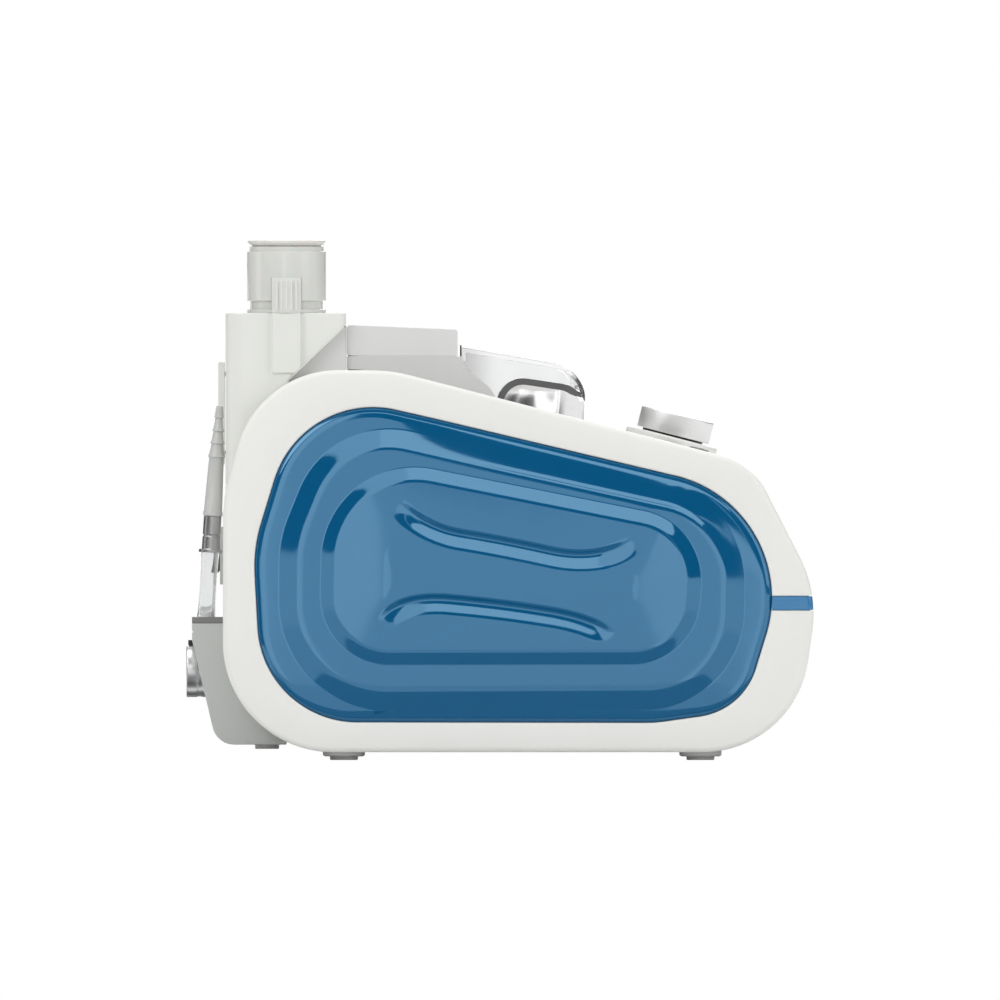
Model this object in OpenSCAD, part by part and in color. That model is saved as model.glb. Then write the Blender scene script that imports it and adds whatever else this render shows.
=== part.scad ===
// Bedside non-invasive ventilator with a heated humidifier chamber.
// +X points to the rounded nose, +Z up, and the side outline lies in the XZ plane.
// The origin is on the table, under the middle of the machine.

/* [Body] */
// Width of the centre housing, between the two side frames
centre_w = 120; // [110:1:130]
// Depth of one side frame, along Y
frame_d = 26; // [20:1:32]
// Wall of the moulded housings
wall = 2.5; // [2:0.1:3]
// How far the centre housing is set in from the side frames
reveal = 1.5; // [1:0.1:2.5]
// Rounding of the frames' outer edge
edge_r = 2.5; // [1.5:0.1:4]
// Clearance between fixed pieces
gap = 0.15; // [0.1:0.05:0.3]
// Rear top corner of the side outline: x, z and radius
rear_top = [-72.5, 128, 47.5]; // [-150:0.5:200]
// Crown of the side outline: x, z and radius
crown = [-57.3, 108.1, 67.2]; // [-150:0.5:200]
// Brow above the nose: x, z and radius
brow = [91.3, 106, 32.2]; // [-150:0.5:200]
// Nose of the side outline: x, z and radius
nose = [83.6, 65.4, 57.6]; // [-150:0.5:200]
// Chin under the nose: x, z and radius
chin = [91.3, 51.5, 48]; // [-150:0.5:200]
// Heel at the rear bottom: x, z and radius
heel = [-74.9, 53.2, 49.7]; // [-150:0.5:200]

/* [Side panels] */
// Height of the crowned middle of a panel above the frame's face
panel_proud = 3.2; // [2:0.1:5]
// Depth that the panel sits in its frame
panel_seat = 5; // [4:0.1:7]
// Thickness of the panel moulding
panel_wall = 2.2; // [1.8:0.1:2.5]
// Width of the ledge that carries the panel
panel_ledge = 8; // [5:0.5:10]
// Depth of the two finger channels pressed into the panel
channel_depth = 1.5; // [0.8:0.1:1.8]
// Width of the two finger channels
channel_w = 7; // [4:0.5:9]

/* [Light bar] */
// Height of the light bar around the nose
bar_h = 6.5; // [4:0.5:9]
// Height of the bar's middle above the table
bar_z = 70.6; // [60:0.2:80]
// Depth of the bar in its groove
bar_d = 1.6; // [1.2:0.1:2]
// Where the bar starts on each side
bar_x = 123.8; // [123.4:0.1:126]

/* [Outlet tower] */
// Height of the tower's flat top above the table
tower_top = 201.2; // [196:0.2:210]
// Rear face of the tower and of the housing's back wall
tower_rear_x = -123.4; // [-124:0.1:-122]
// Front edge of the tower's top
tower_front_x = -69.2; // [-72:0.1:-68]
// Width of the tower
tower_w = 114; // [104:1:116]
// Rounding of the tower's upright corners
tower_corner_r = 8.5; // [5:0.5:12]
// Height at which the tower stands on the back wall
tower_foot_z = 124; // [120:1:132]
// Where the tower's raked underside meets the housing: x and z
rake_foot = [-95.2, 171]; // [-110:0.2:180]
// Depth of the square lip over the raked underside
rake_lip = 5.4; // [4:0.2:8]

/* [Breathing port] */
// Distance of the port from the rear face
port_back = 27.4; // [25:0.2:29]
// Distance of the port from the tower's side
port_inset = 16; // [15.5:0.5:18]
// Radius of the port's outer collar
port_r = 17.75; // [16:0.25:19]
// Height of the collar above the tower
port_h = 32.6; // [28:0.2:36]
// Radius of the bore that takes a 22 mm breathing connector
port_bore_r = 11; // [10.5:0.1:11.5]
// Wall of the sleeve around that bore
sleeve_wall = 2; // [1.6:0.1:2.4]
// Wall of the outer collar
collar_wall = 1.8; // [1.4:0.1:2.2]
// Width of the contact tab on the collar
tab_w = 13; // [10:0.5:15]
// Height of the contact tab
tab_h = 15.9; // [12:0.2:20]

/* [Humidifier chamber] */
// Rear face of the chamber
chamber_x = -68.4; // [-68.6:0.1:-68]
// Length of the chamber
chamber_len = 107; // [104:0.5:108]
// Width of the chamber
chamber_w = 100; // [90:1:104]
// Height of the chamber's floor above the table
chamber_z = 118; // [112:0.5:122]
// Wall of the clear tank
tank_wall = 2; // [1.6:0.1:2.4]
// Wall of the drawn metal pan
pan_wall = 1.5; // [1.2:0.1:2]
// Height of the seat that the filler lid rests on
lid_seat_z = 181.6; // [180:0.2:184]
// Length of the filler lid
lid_len = 49.2; // [44:0.2:49.4]
// Height of the lid at its rear
lid_h = 14.2; // [11:0.2:14.4]
// Fall of the lid's top from rear to front
lid_fall = 2; // [1:0.1:4]
// Clearance around the chamber in its well
well_gap = 0.8; // [0.6:0.1:1.2]
// Radius of the two gas ports in the chamber's rear wall
gas_port_r = 7.5; // [6:0.25:8]
// Height of the two gas ports
gas_port_z = 158; // [156:0.5:160]
// Distance of the gas ports from the middle plane
gas_port_side = 34; // [32:0.5:34]

/* [Console] */
// Distance of the console's upper edge down the slope
console_s = 87.5; // [86:0.5:89]
// Length of the console down the slope
console_len = 55.5; // [54:0.5:57]
// Width of the console
console_w = 112; // [108:1:116]
// Thickness of the console plate
console_t = 2.5; // [2:0.1:3]
// Height of the console plate above the housing
console_proud = 1; // [0.6:0.1:1.4]
// Distance of the knob's axis down the slope
knob_s = 121.4; // [119:0.2:122]
// Distance of the knob's axis from the middle plane
knob_side = 34; // [32:0.5:34.5]
// Radius of the knob
knob_r = 16.6; // [14:0.2:18]
// Height of the knob
knob_h = 10.6; // [8:0.2:13]
// Height of the knob's plinth
plinth_h = 3.1; // [2:0.1:4]
// Radius of the knob's plinth
plinth_r = 21; // [19:0.5:21]
// Gap between the knob and its plinth
knob_gap = 0.9; // [0.8:0.1:1.5]
// Travel of the knob when it is pressed
knob_travel = 0.6; // [0.4:0.1:0.7]
// Length and width of the display glass
glass_size = [35, 62]; // [20:1:80]
// Radius of a key cap
key_r = 4.5; // [3.5:0.25:4.75]
// Travel of a key
key_travel = 0.8; // [0.5:0.1:1]

/* [Gas block] */
// Width of the gas block on the rear
block_w = 100; // [96:1:110]
// Height of the block's top above the table
block_top_z = 64.4; // [62:0.2:68]
// Depth that the block stands out behind the back wall
block_out = 15.1; // [14:0.1:17]
// Thickness of the block's cap plate
cap_t = 2.8; // [2:0.1:4]
// Radius of the quick coupler's ring
coupler_r = 11.7; // [10:0.1:12]
// Radius of the coupler's bore
coupler_bore_r = 5; // [4:0.1:5.5]
// Depth of the coupler's bore
coupler_bore_d = 12; // [10:0.5:13]
// Height of the coupler's axis
coupler_z = 40; // [38:0.5:42]
// Tilt of the inlet riser towards the tower, in degrees
riser_tilt = 3.7; // [3:0.1:4]
// Radius of the clear riser tube
riser_r = 4.1; // [3.6:0.1:4.4]
// Length of the riser tube above the cap
riser_len = 29; // [26:0.5:32]

/* [Feet] */
// Height of the rubber pad under each foot
pad_h = 1.6; // [1.2:0.1:2.5]
// Radius of the rubber pad
pad_r = 6.3; // [5:0.1:8]
// Radius of a foot's flange
foot_r = 9.5; // [8:0.25:11]
// Distance of the rear and front feet along X
foot_x = [-70.1, 90.3]; // [-120:1:120]

/* [Rear connections] */
// Distance of the riser and its barb from the middle plane
riser_side = 22; // [14:0.5:26]
// Distance of the quick coupler from the middle plane
coupler_side = 24; // [20:0.5:30]
// Width and height of the mains inlet's flange
inlet_flange = [50, 26]; // [20:1:60]
// Distance of the mains inlet's flange from the middle plane
inlet_side = 30; // [26:0.5:34]
// Height of the mains inlet above the table
inlet_z = 92; // [86:0.5:98]
// Swing of the rocker switch, in degrees
rocker_swing = 16; // [10:1:20]
// Width and height of the filter cover
filter_size = [40, 46]; // [30:1:50]
// Distance of the filter cover from the middle plane
filter_side = 27; // [26:0.5:28]
// Height of the middle of the filter cover
filter_z = 156; // [150:0.5:162]
// Thickness of the filter cover
filter_t = 3; // [2:0.1:4]

/* [Inside] */
// Radius of the blower's volute at its tongue
volute_r = 33; // [30:0.5:35]
// Radius of the blower's impeller
impeller_r = 27; // [24:0.5:28]
// Number of blades on the impeller
blades = 11; // [7:1:15]
// Distance of the blower's axis along X
blower_x = 66; // [62:0.5:68]
// Height of the blower's base plane
blower_z = 40; // [34:0.5:44]
// Radius of the blower's motor
motor_r = 19; // [15:0.5:19]

/* [Hidden] */
$fn = 64;

white = [0.93, 0.93, 0.91];
light_grey = [0.76, 0.77, 0.75];
smoke = [0.78, 0.79, 0.77];
dark = [0.16, 0.17, 0.18];
blue = [0.28, 0.49, 0.67];
clear = [0.86, 0.9, 0.92];
steel = [0.75, 0.76, 0.77];
brass = [0.78, 0.66, 0.38];
board_green = [0.16, 0.38, 0.27];

// Points around one side outline
side_n = 64;
// Radial clearance of a running fit
run_fit = 0.06;
// Clearance between a moving piece and what it passes
free_fit = 0.3;
half_w = centre_w / 2;
face_y = half_w + frame_d;

// The side outline is the belt line around six circles, each given as x, z and radius
side = [rear_top, crown, brow, nose, chin, heel];
// The blue panel's outline, and the edges of its two raised steps
panel = [[-57.1, 112.3, 46.5], [66.1, 73.1, 56.4], [85.7, 50.1, 30.9], [-64.1, 61.9, 45],
    [-42.4, 86.9, 68]];
step_one = [[-40.5, 87.9, 50.7], [-49.5, 104.8, 36], [67, 80.2, 35.1], [65.6, 67.3, 36.2],
    [-50.4, 71.4, 40.9]];
step_two = [[-38.1, 89.5, 36.8], [58.7, 80.8, 26.5], [59.4, 73.7, 25.3], [-49.4, 74, 25.8]];

function reach(c, a) = c[0] * cos(a) + c[1] * sin(a) + c[2];
function widest(circles, a) =
    let (r = [for (c = circles) reach(c, a)], m = max(r), k = [for (i = [0:len(r) - 1]) if (r[i] == m) i])
    circles[k[0]];
// Closed outline around a set of circles, moved inwards by inset
function outline(circles, inset = 0) = [for (i = [0:side_n - 1])
    let (a = (i + 0.5) * 360 / side_n, c = widest(circles, a), r = c[2] - inset)
    [c[0] + r * cos(a), c[1] + r * sin(a)]];
// The same outline at the distance y from the middle plane
function ring(circles, inset, y) = [for (p = outline(circles, inset)) [p[0], y, p[1]]];
function arc(c, r, a0, a1, n = 8) = [for (i = [0:n])
    let (a = a0 + (a1 - a0) * i / n) [c[0] + r * cos(a), c[1] + r * sin(a)]];
// Rectangle seen from above, with its own corner radius at the rear and at the front
function plan(x0, x1, w, r_rear, r_front) = concat(
    arc([x1 - r_front, w / 2 - r_front], r_front, 0, 90),
    arc([x0 + r_rear, w / 2 - r_rear], r_rear, 90, 180),
    arc([x0 + r_rear, r_rear - w / 2], r_rear, 180, 270),
    arc([x1 - r_front, r_front - w / 2], r_front, 270, 360));
// Normal angle of the tangent over two circles of the side outline
function tangent_angle(a, b) =
    atan2(b[1] - a[1], b[0] - a[0]) + acos((a[2] - b[2]) / norm([b[0] - a[0], b[1] - a[1]]));
// Point on a quadratic B-spline with clamped ends
function spline_point(p, t) =
    let (n = len(p) - 2, k = min(floor(t), n - 1), u = t - k,
        a = k == 0 ? p[0] : (p[k] + p[k + 1]) / 2,
        b = k == n - 1 ? p[n + 1] : (p[k + 1] + p[k + 2]) / 2)
    (1 - u) * (1 - u) * a + 2 * u * (1 - u) * p[k + 1] + u * u * b;

// Solid between closed rings of points, with a flat lid on the first and the last
module loft(rings) {
    n = len(rings[0]);
    m = len(rings) - 1;
    sides = [for (k = [0:m - 1], i = [0:n - 1]) let (j = (i + 1) % n)
        each [[k * n + i, k * n + j, (k + 1) * n + j], [k * n + i, (k + 1) * n + j, (k + 1) * n + i]]];
    lids = [[for (i = [n - 1:-1:0]) i], [for (i = [0:n - 1]) m * n + i]];
    polyhedron([for (r = rings) each r], concat(sides, lids), convexity = 8);
}
// Solid of a closed section carried round a closed outline
module hoop(rings) {
    n = len(rings[0]);
    m = len(rings);
    sides = [for (k = [0:m - 1], i = [0:n - 1]) let (j = (i + 1) % n, q = (k + 1) % m)
        each [[k * n + i, k * n + j, q * n + j], [k * n + i, q * n + j, q * n + i]]];
    polyhedron([for (r = rings) each r], sides, convexity = 8);
}
// Upright plate with its outline in XZ, from y0 to y1
module slab(points, y0, y1) {
    translate([0, y1, 0]) rotate([90, 0, 0]) linear_extrude(y1 - y0) polygon(points);
}
// Column with its outline in XY, from z0 to z1
module column(points, z0, z1) {
    translate([0, 0, z0]) linear_extrude(z1 - z0) polygon(points);
}
module block(x, y, z) {
    translate([x[0], y[0], z[0]]) cube([x[1] - x[0], y[1] - y[0], z[1] - z[0]]);
}
module along_x(p, r, x0, x1) {
    translate([x0, p[0], p[1]]) rotate([0, 90, 0]) cylinder(r = r, h = x1 - x0);
}
module along_y(p, r, y0, y1) {
    translate([p[0], y1, p[1]]) rotate([90, 0, 0]) cylinder(r = r, h = y1 - y0);
}
module left_and_right() {
    children();
    mirror([0, 1, 0]) children();
}

// Console slope: s runs down the slope, y across it and n out of it
slope = 90 - tangent_angle(crown, brow);
slope_x = crown[0] + (crown[2] - reveal) * sin(slope);
slope_z = crown[1] + (crown[2] - reveal) * cos(slope);
module on_slope(s = 0, y = 0, n = 0) {
    translate([slope_x, 0, slope_z]) rotate([0, slope, 0]) translate([s, y, n]) children();
}

// Centre housing
bottom_z = heel[1] - heel[2];
base_z = bottom_z + reveal + 0.1;
rear_box_front = -100;
rear_box_z = 53;
well_x0 = chamber_x - well_gap;
chamber_front = chamber_x + chamber_len;
well_x1 = chamber_front + well_gap;
well_w = chamber_w + 2 * well_gap;
well_floor = chamber_z - 2;
hatch_x = [-66, 86];
hatch_w = 98;

// Full side shape of the centre housing, with t taken off all round
module centre_body(t) {
    slab(outline(side, reveal + t), -half_w + t, half_w - t);
    block([tower_rear_x + t, rear_box_front], [-half_w + t, half_w - t],
        [rear_box_z, tower_foot_z + (t > 0 ? 1 : 0)]);
}
module bar_groove(clearance) {
    difference() {
        block([bar_x - clearance, nose[0] + nose[2] + 1], [-face_y - 1, face_y + 1],
            [bar_z - bar_h / 2 - clearance, bar_z + bar_h / 2 + clearance]);
        slab(outline(side, bar_d), -face_y + bar_d, face_y - bar_d);
    }
}
port_x = tower_rear_x + port_back;
port_y = port_inset - tower_w / 2;
module main_housing() color(white) difference() {
    intersection() {
        union() {
            difference() {
                centre_body(0);
                centre_body(wall);
            }
            block([well_x0 - wall, well_x1 + wall], [-well_w / 2 - wall, well_w / 2 + wall],
                [well_floor - wall, crown[1] + crown[2]]);
        }
        centre_body(0);
        block([-200, 200], [-100, 100], [base_z, 300]);
    }
    column(plan(well_x0, well_x1, well_w, 8, 14), well_floor, crown[1] + crown[2] + 1);
    block([heater_x[0] - gap, heater_x[1] + gap], [-heater_w / 2 - gap, heater_w / 2 + gap],
        [well_floor - wall - 1, well_floor + 1]);
    // Seat of the outlet tower between the two cheeks
    block([-200, rake_foot[0] + gap], [-tower_w / 2 - gap, tower_w / 2 + gap], [tower_foot_z, 250]);
    intersection() {
        translate([port_x, port_y, tower_foot_z]) cylinder(r = port_r + gap, h = 100);
        block([-200, rake_foot[0] + gap], [-100, 0], [0, 300]);
    }
    for (side_y = [-gas_port_side, gas_port_side])
        along_x([side_y, gas_port_z], gas_port_r + seal_ring + gap, rake_foot[0] - 1, well_x0 + 1);
    on_slope() {
        column(plan(console_s - gap, console_s + console_len + gap, console_w + 2 * gap, 5, 5),
            console_proud - console_t, 10);
        column(plan(console_s + 3, console_s + console_len - 3, console_w - 6, 3, 3), -12, 10);
    }
    block(hatch_x, [-hatch_w / 2, hatch_w / 2], [0, base_z + wall + 1]);
    for (p = screw_spots) translate([p[0], p[1], 0]) cylinder(r = screw_r, h = 20);
    bar_groove(gap);
    // Openings in the back wall
    block([tower_rear_x - 1, tower_rear_x + wall + 1],
        [inlet_side - inlet_body[0] / 2 - gap, inlet_side + inlet_body[0] / 2 + gap],
        [inlet_z - inlet_body[1] / 2 - gap, inlet_z + inlet_body[1] / 2 + gap]);
}
screw_spots = [for (x = [-60, 78], y = [-51.5, 51.5]) [x, y]];
screw_r = 1.5;
cover_t = base_z - bottom_z - 0.1;
module base_cover() color(light_grey) difference() {
    union() {
        column(plan(hatch_x[0] - 4, hatch_x[1] + 4, hatch_w + 11, 4, 4), base_z - cover_t, base_z);
        column(plan(hatch_x[0] + gap, hatch_x[1] - gap, hatch_w - 2 * gap, 0.5, 0.5), base_z - 0.01,
            base_top);
    }
    for (p = screw_spots) translate([p[0], p[1], 0]) {
        cylinder(r = screw_r, h = 20);
        cylinder(r = screw_head_r, h = base_z - cover_t + screw_head_h);
    }
    // Louvres that let cooling air in under the power supply
    for (i = [0:8]) block([-46 + i * 7, -42.5 + i * 7], [20, 44], [0, 20]);
}
base_top = base_z + wall + 2;
screw_head_r = 2.6;
screw_head_h = 0.7;
module base_screws() color(steel) for (p = screw_spots) translate([p[0], p[1], base_z - cover_t]) {
    cylinder(r = screw_head_r - 0.05, h = screw_head_h);
    cylinder(r = screw_r, h = cover_t + wall);
}

// Side frames and panels
module side_frame() color(white) difference() {
    hoop([ring(side, 0, half_w), ring(side, 0, face_y - edge_r),
        ring(side, edge_r * (1 - cos(45)), face_y - edge_r * (1 - sin(45))), ring(side, edge_r, face_y),
        ring(panel, -1, face_y), ring(panel, 0, face_y - 0.8), ring(panel, 0, face_y - panel_seat),
        ring(panel, panel_ledge, face_y - panel_seat),
        ring(panel, panel_ledge, face_y - panel_seat - wall),
        ring(panel, -wall, face_y - panel_seat - wall), ring(panel, -wall, face_y - wall),
        ring(side, wall, face_y - wall), ring(side, wall, half_w)]);
    bar_groove(gap);
    for (x = foot_x) translate([x, foot_y, 0]) cylinder(r = foot_r, h = foot_top);
}
module right_side_frame() mirror([0, 1, 0]) side_frame();
module left_side_frame() side_frame();

// Heights of the panel's steps above the frame's face, as parts of its full height
step_h = panel_proud / 3.2;
upper_path = [[-47, 117.5], [-34, 104], [0, 98.6], [46, 88.5], [62, 100.5]];
lower_path = [[-55, 61], [-46, 74], [0, 70], [44, 62.8], [51, 55]];
channel_n = 14;
// Trough of the given width along a path of the panel
module channel(path) {
    spans = len(path) - 2;
    along = [for (i = [0:channel_n]) spline_point(path, spans * i / channel_n)];
    loft([for (i = [0:channel_n]) let (
        a = along[max(i - 1, 0)], b = along[min(i + 1, channel_n)], d = (b - a) / norm(b - a),
        f = min(1, min(i, channel_n - i) / 2 + 0.15), w = channel_w / 2 * (0.5 + 0.5 * f), h = 3)
        [for (q = [[-1, h], [-0.6, -channel_depth * f * 0.7], [0, -channel_depth * f],
            [0.6, -channel_depth * f * 0.7], [1, h]])
            [along[i][0] - d[1] * q[0] * w, channel_face + q[1], along[i][1] + d[0] * q[0] * w]]]);
}
channel_face = face_y + 2.6 * step_h;
module side_panel() color(blue) difference() {
    loft([ring(step_two, 11, face_y - panel_wall + 2.9 * step_h),
        ring(step_two, 2, face_y - panel_wall + 1.6 * step_h),
        ring(step_one, 1, face_y - panel_wall), ring(panel, panel_ledge + 4, face_y - panel_wall - 0.6),
        ring(panel, panel_ledge + 1, face_y - panel_seat), ring(panel, gap, face_y - panel_seat),
        ring(panel, gap, face_y - 0.9), ring(panel, gap + 0.5, face_y - 0.3),
        ring(panel, 1.7, face_y), ring(panel, 5, face_y + 0.45 * step_h),
        ring(step_one, -8, face_y + 0.4 * step_h), ring(step_one, -4, face_y + 0.92 * step_h),
        ring(step_one, -0.3, face_y + 1.37 * step_h), ring(step_one, 0.4, face_y + 1.43 * step_h),
        ring(step_two, -5.6, face_y + 1.5 * step_h), ring(step_two, -3, face_y + 1.8 * step_h),
        ring(step_two, -0.3, face_y + 2.38 * step_h), ring(step_two, 0.5, face_y + 2.48 * step_h),
        ring(step_two, 6, face_y + 2.75 * step_h), ring(step_two, 14, face_y + 3.03 * step_h),
        ring(step_two, 23, face_y + 3.2 * step_h)]);
    channel(upper_path);
    channel(lower_path);
}
module right_side_panel() mirror([0, 1, 0]) side_panel();
module left_side_panel() side_panel();
module light_bar() color(blue) intersection() {
    bar_groove(0);
    loft([ring(side, edge_r, -face_y), ring(side, edge_r * (1 - cos(45)), -face_y + edge_r * (1 - sin(45))),
        ring(side, 0, -face_y + edge_r), ring(side, 0, face_y - edge_r),
        ring(side, edge_r * (1 - cos(45)), face_y - edge_r * (1 - sin(45))), ring(side, edge_r, face_y)]);
}

// Rubber feet under the side frames
foot_y = half_w + frame_d / 2;
foot_top = bottom_z + 1;
module foot(x, y) color(dark) translate([x, y, 0]) rotate_extrude() polygon([[0, 0], [pad_r - 0.5, 0],
    [pad_r, 0.5], [pad_r, pad_h], [foot_r - 1, pad_h], [foot_r, pad_h + 0.8], [foot_r, foot_top],
    [0, foot_top]]);
module foot_rear_right() foot(foot_x[0], -foot_y);
module foot_rear_left() foot(foot_x[0], foot_y);
module foot_front_right() foot(foot_x[1], -foot_y);
module foot_front_left() foot(foot_x[1], foot_y);

// Outlet tower
rake_rise = tower_top - rake_lip;
rake_angle = atan2(tower_front_x - rake_foot[0], rake_rise - rake_foot[1]);
// Side outline of the tower with t taken off; the hollow one runs out through the bottom
function tower_side(t, open = 0) =
    let (dz = t * tan(rake_angle / 2))
    [[tower_rear_x + t, tower_foot_z - open], [rake_foot[0] - t, tower_foot_z - open],
        [rake_foot[0] - t, rake_foot[1] + dz], [tower_front_x - t, rake_rise + dz],
        [tower_front_x - t, tower_top - t], [tower_rear_x + t, tower_top - t]];
tray_x = tower_rear_x + wall + 10;
module outlet_tower() color(white) difference() {
    union() {
        difference() {
            union() {
                intersection() {
                    slab(tower_side(0), -tower_w / 2, tower_w / 2);
                    column(plan(tower_rear_x, tower_front_x, tower_w, tower_corner_r, 3),
                        tower_foot_z, tower_top);
                }
                intersection() {
                    slab(tower_side(0), port_y - port_r, -tower_w / 2 + 8);
                    translate([port_x, port_y, tower_foot_z])
                        cylinder(r = port_r, h = tower_top - tower_foot_z);
                }
                intersection() {
                    slab(tower_side(0), port_y - port_r - 1, -tower_w / 2 + 8);
                    block([port_x - tab_w / 2, port_x + tab_w / 2], [-tower_w / 2 - 4, -tower_w / 2 + 2],
                        [rake_foot[1] + 3, tower_top]);
                }
            }
            slab(tower_side(wall, 1), -tower_w / 2 + wall, tower_w / 2 - wall);
        }
        // Tray that holds the filter foam
        block([tower_rear_x + wall / 2, tray_x],
            [filter_side - foam[0] / 2 - 2, filter_side + foam[0] / 2 + 2],
            [filter_z - foam[1] / 2 - 2, filter_z + foam[1] / 2 + 2]);
    }
    block([tower_rear_x - 1, tray_x - 2], [filter_side - foam[0] / 2, filter_side + foam[0] / 2],
        [filter_z - foam[1] / 2, filter_z + foam[1] / 2]);
    block([tray_x - 3, tray_x + 1], [filter_side - foam[0] / 2 + 3, filter_side + foam[0] / 2 - 3],
        [filter_z - foam[1] / 2 + 3, filter_z + foam[1] / 2 - 3]);
    translate([port_x, port_y, tower_top - 10]) cylinder(r = port_bore_r + sleeve_wall, h = 20);
    along_x([-gas_port_side, gas_port_z], gas_port_r + 2 + gap, rake_foot[0] - wall - 1,
        rake_foot[0] + 1);
}
// Grey hood that fills the corner under the tower's raked face
module elbow_hood() color(smoke) difference() {
    slab([[rake_foot[0] + gap, rake_foot[1] - 8], [well_x0, rake_foot[1] - 8],
        [well_x0, rake_rise - gap * 2], [tower_front_x, rake_rise - gap * 2],
        [rake_foot[0] + gap, rake_foot[1] - gap]], -hood_w / 2, hood_w / 2);
    slab(outline(side, reveal), -half_w, half_w);
}
hood_w = 104;

// Breathing port, turned about its upright axis
sleeve_top = port_h - 2;
module port_axis() {
    translate([port_x, port_y, tower_top]) children();
}
module port_collar() color(smoke) port_axis() rotate_extrude() polygon([
    [port_bore_r + sleeve_wall, 0], [port_r, 0], [port_r, 1.5], [port_r - 1.4, 1.7],
    [port_r - 1.4, 5.3], [port_r, 5.5], [port_r, port_h - 5], [port_r - 1, port_h - 4.8],
    [port_r - 1, port_h - 1.4], [port_r - 0.2, port_h - 1.2], [port_r - 0.2, port_h - 0.4],
    [port_r - 0.6, port_h], [port_r - collar_wall - 1, port_h], [port_r - collar_wall - 1.4, port_h - 0.4],
    [port_r - collar_wall - 1.4, 3], [port_bore_r + sleeve_wall, 3]]);
module port_sleeve() color(smoke) port_axis() rotate_extrude() polygon([
    [port_bore_r, -sleeve_drop], [port_bore_r + sleeve_wall, -sleeve_drop],
    [port_bore_r + sleeve_wall, sleeve_top - 0.6], [port_bore_r + sleeve_wall - 0.6, sleeve_top],
    [port_bore_r + 0.5, sleeve_top], [port_bore_r, sleeve_top - 0.5]]);
sleeve_drop = 11;
seal_gap = port_r - collar_wall - 1.4 - port_bore_r - sleeve_wall;
module port_seal() color(dark) port_axis() translate([0, 0, 3]) rotate_extrude() translate([
    port_bore_r + sleeve_wall + seal_gap / 2, seal_gap / 2 - 0.02]) circle(r = seal_gap / 2 - 0.02, $fn = 24);
module contact_tab() color(smoke) port_axis() {
    intersection() {
        difference() {
            cylinder(r = port_r + 1.2, h = tab_h);
            translate([0, 0, -1]) cylinder(r = port_r, h = tab_h + 2);
        }
        block([-tab_w / 2, tab_w / 2], [-port_r - 2, 0], [0, tab_h]);
    }
    for (i = [-2:2]) block([i * 2.2 - 0.5, i * 2.2 + 0.5], [-port_r - 1.6, -port_r - 0.15], [1, tab_h - 1.5]);
}

// Ducts behind the chamber
seal_ring = 2;
module outlet_elbow() color(smoke) difference() {
    union() {
        along_x([-gas_port_side, gas_port_z], gas_port_r + 2, elbow_x[1], well_x0 - wall);
        block(elbow_x, elbow_y, [gas_port_z - 11, elbow_head_z]);
        block([elbow_x[0], port_x + port_bore_r + 2], [port_y - port_bore_r - 2, elbow_y[1]],
            [elbow_head_z - 4, elbow_head_z]);
    }
    along_x([-gas_port_side, gas_port_z], gas_port_r, elbow_x[1] - 5, well_x0);
    block([elbow_x[0] + 2, elbow_x[1] - 2], [elbow_y[0] + 2, elbow_y[1] - 2],
        [gas_port_z - 9, elbow_head_z - 4]);
    translate([port_x, port_y, elbow_head_z - 3]) cylinder(r = port_bore_r + 0.6, h = 10);
    block([elbow_x[0] + 2, elbow_x[1] - 2], [elbow_y[0] + 2, elbow_y[1] - 2],
        [elbow_head_z - 5, elbow_head_z - 2]);
}
elbow_x = [-115, -98.2];
elbow_y = [port_y - 11, 10 - gas_port_side];
elbow_head_z = tower_top - sleeve_drop;
module inlet_elbow() color(smoke) difference() {
    union() {
        along_x([gas_port_side, gas_port_z], gas_port_r + 2, well_x0 - wall - 8, well_x0 - wall);
        block([rake_foot[0] + 1, well_x0 - wall - 6], [gas_port_side - 11, gas_port_side + 11],
            [gas_port_z - 42, gas_port_z - gas_port_r + 15]);
    }
    along_x([gas_port_side, gas_port_z], gas_port_r, well_x0 - wall - 14, well_x0);
    block([rake_foot[0] + 3, well_x0 - wall - 8], [gas_port_side - 9, gas_port_side + 9],
        [gas_port_z - 43, gas_port_z + 5.5]);
}
module chamber_port_seals() color(dark) for (y = [-gas_port_side, gas_port_side])
    translate([well_x0 - wall, y, gas_port_z]) rotate([0, 90, 0]) rotate_extrude() polygon([
        [gas_port_r, 0], [gas_port_r + seal_ring, 0], [gas_port_r + seal_ring, wall],
        [gas_port_r + 1, wall + 0.3], [gas_port_r, wall - 0.6]]);

// Humidifier chamber
pan_flange = 1.5;
seal_t = 2;
skirt_z = chamber_z + pan_flange + seal_t;
step_x = -17.2;
bonnet_z = lid_seat_z + 4.2;
bonnet_tilt = 10;
bonnet_r = 17;
bonnet_c = let (x = chamber_front - bonnet_r,
    line = step_x * sin(bonnet_tilt) + bonnet_z * cos(bonnet_tilt))
    [x, (line - bonnet_r - x * sin(bonnet_tilt)) / cos(bonnet_tilt)];
// Side outline of the chamber with t taken off
function chamber_side(t, z0) = concat(
    [[chamber_x + t, z0], [chamber_front - t, z0]],
    arc(bonnet_c, bonnet_r - t, 0, 90 - bonnet_tilt, 10),
    [[step_x + t, bonnet_z - (t * tan(bonnet_tilt)) - t / cos(bonnet_tilt)], [step_x + t, lid_seat_z - t],
        [chamber_x + t, lid_seat_z - t]]);
module chamber_body(t, z0) {
    intersection() {
        slab(chamber_side(t, z0), -chamber_w, chamber_w);
        column(plan(chamber_x + t, chamber_front - t, chamber_w - 2 * t, 8 - t, 14 - t), z0, 200);
    }
}
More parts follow.
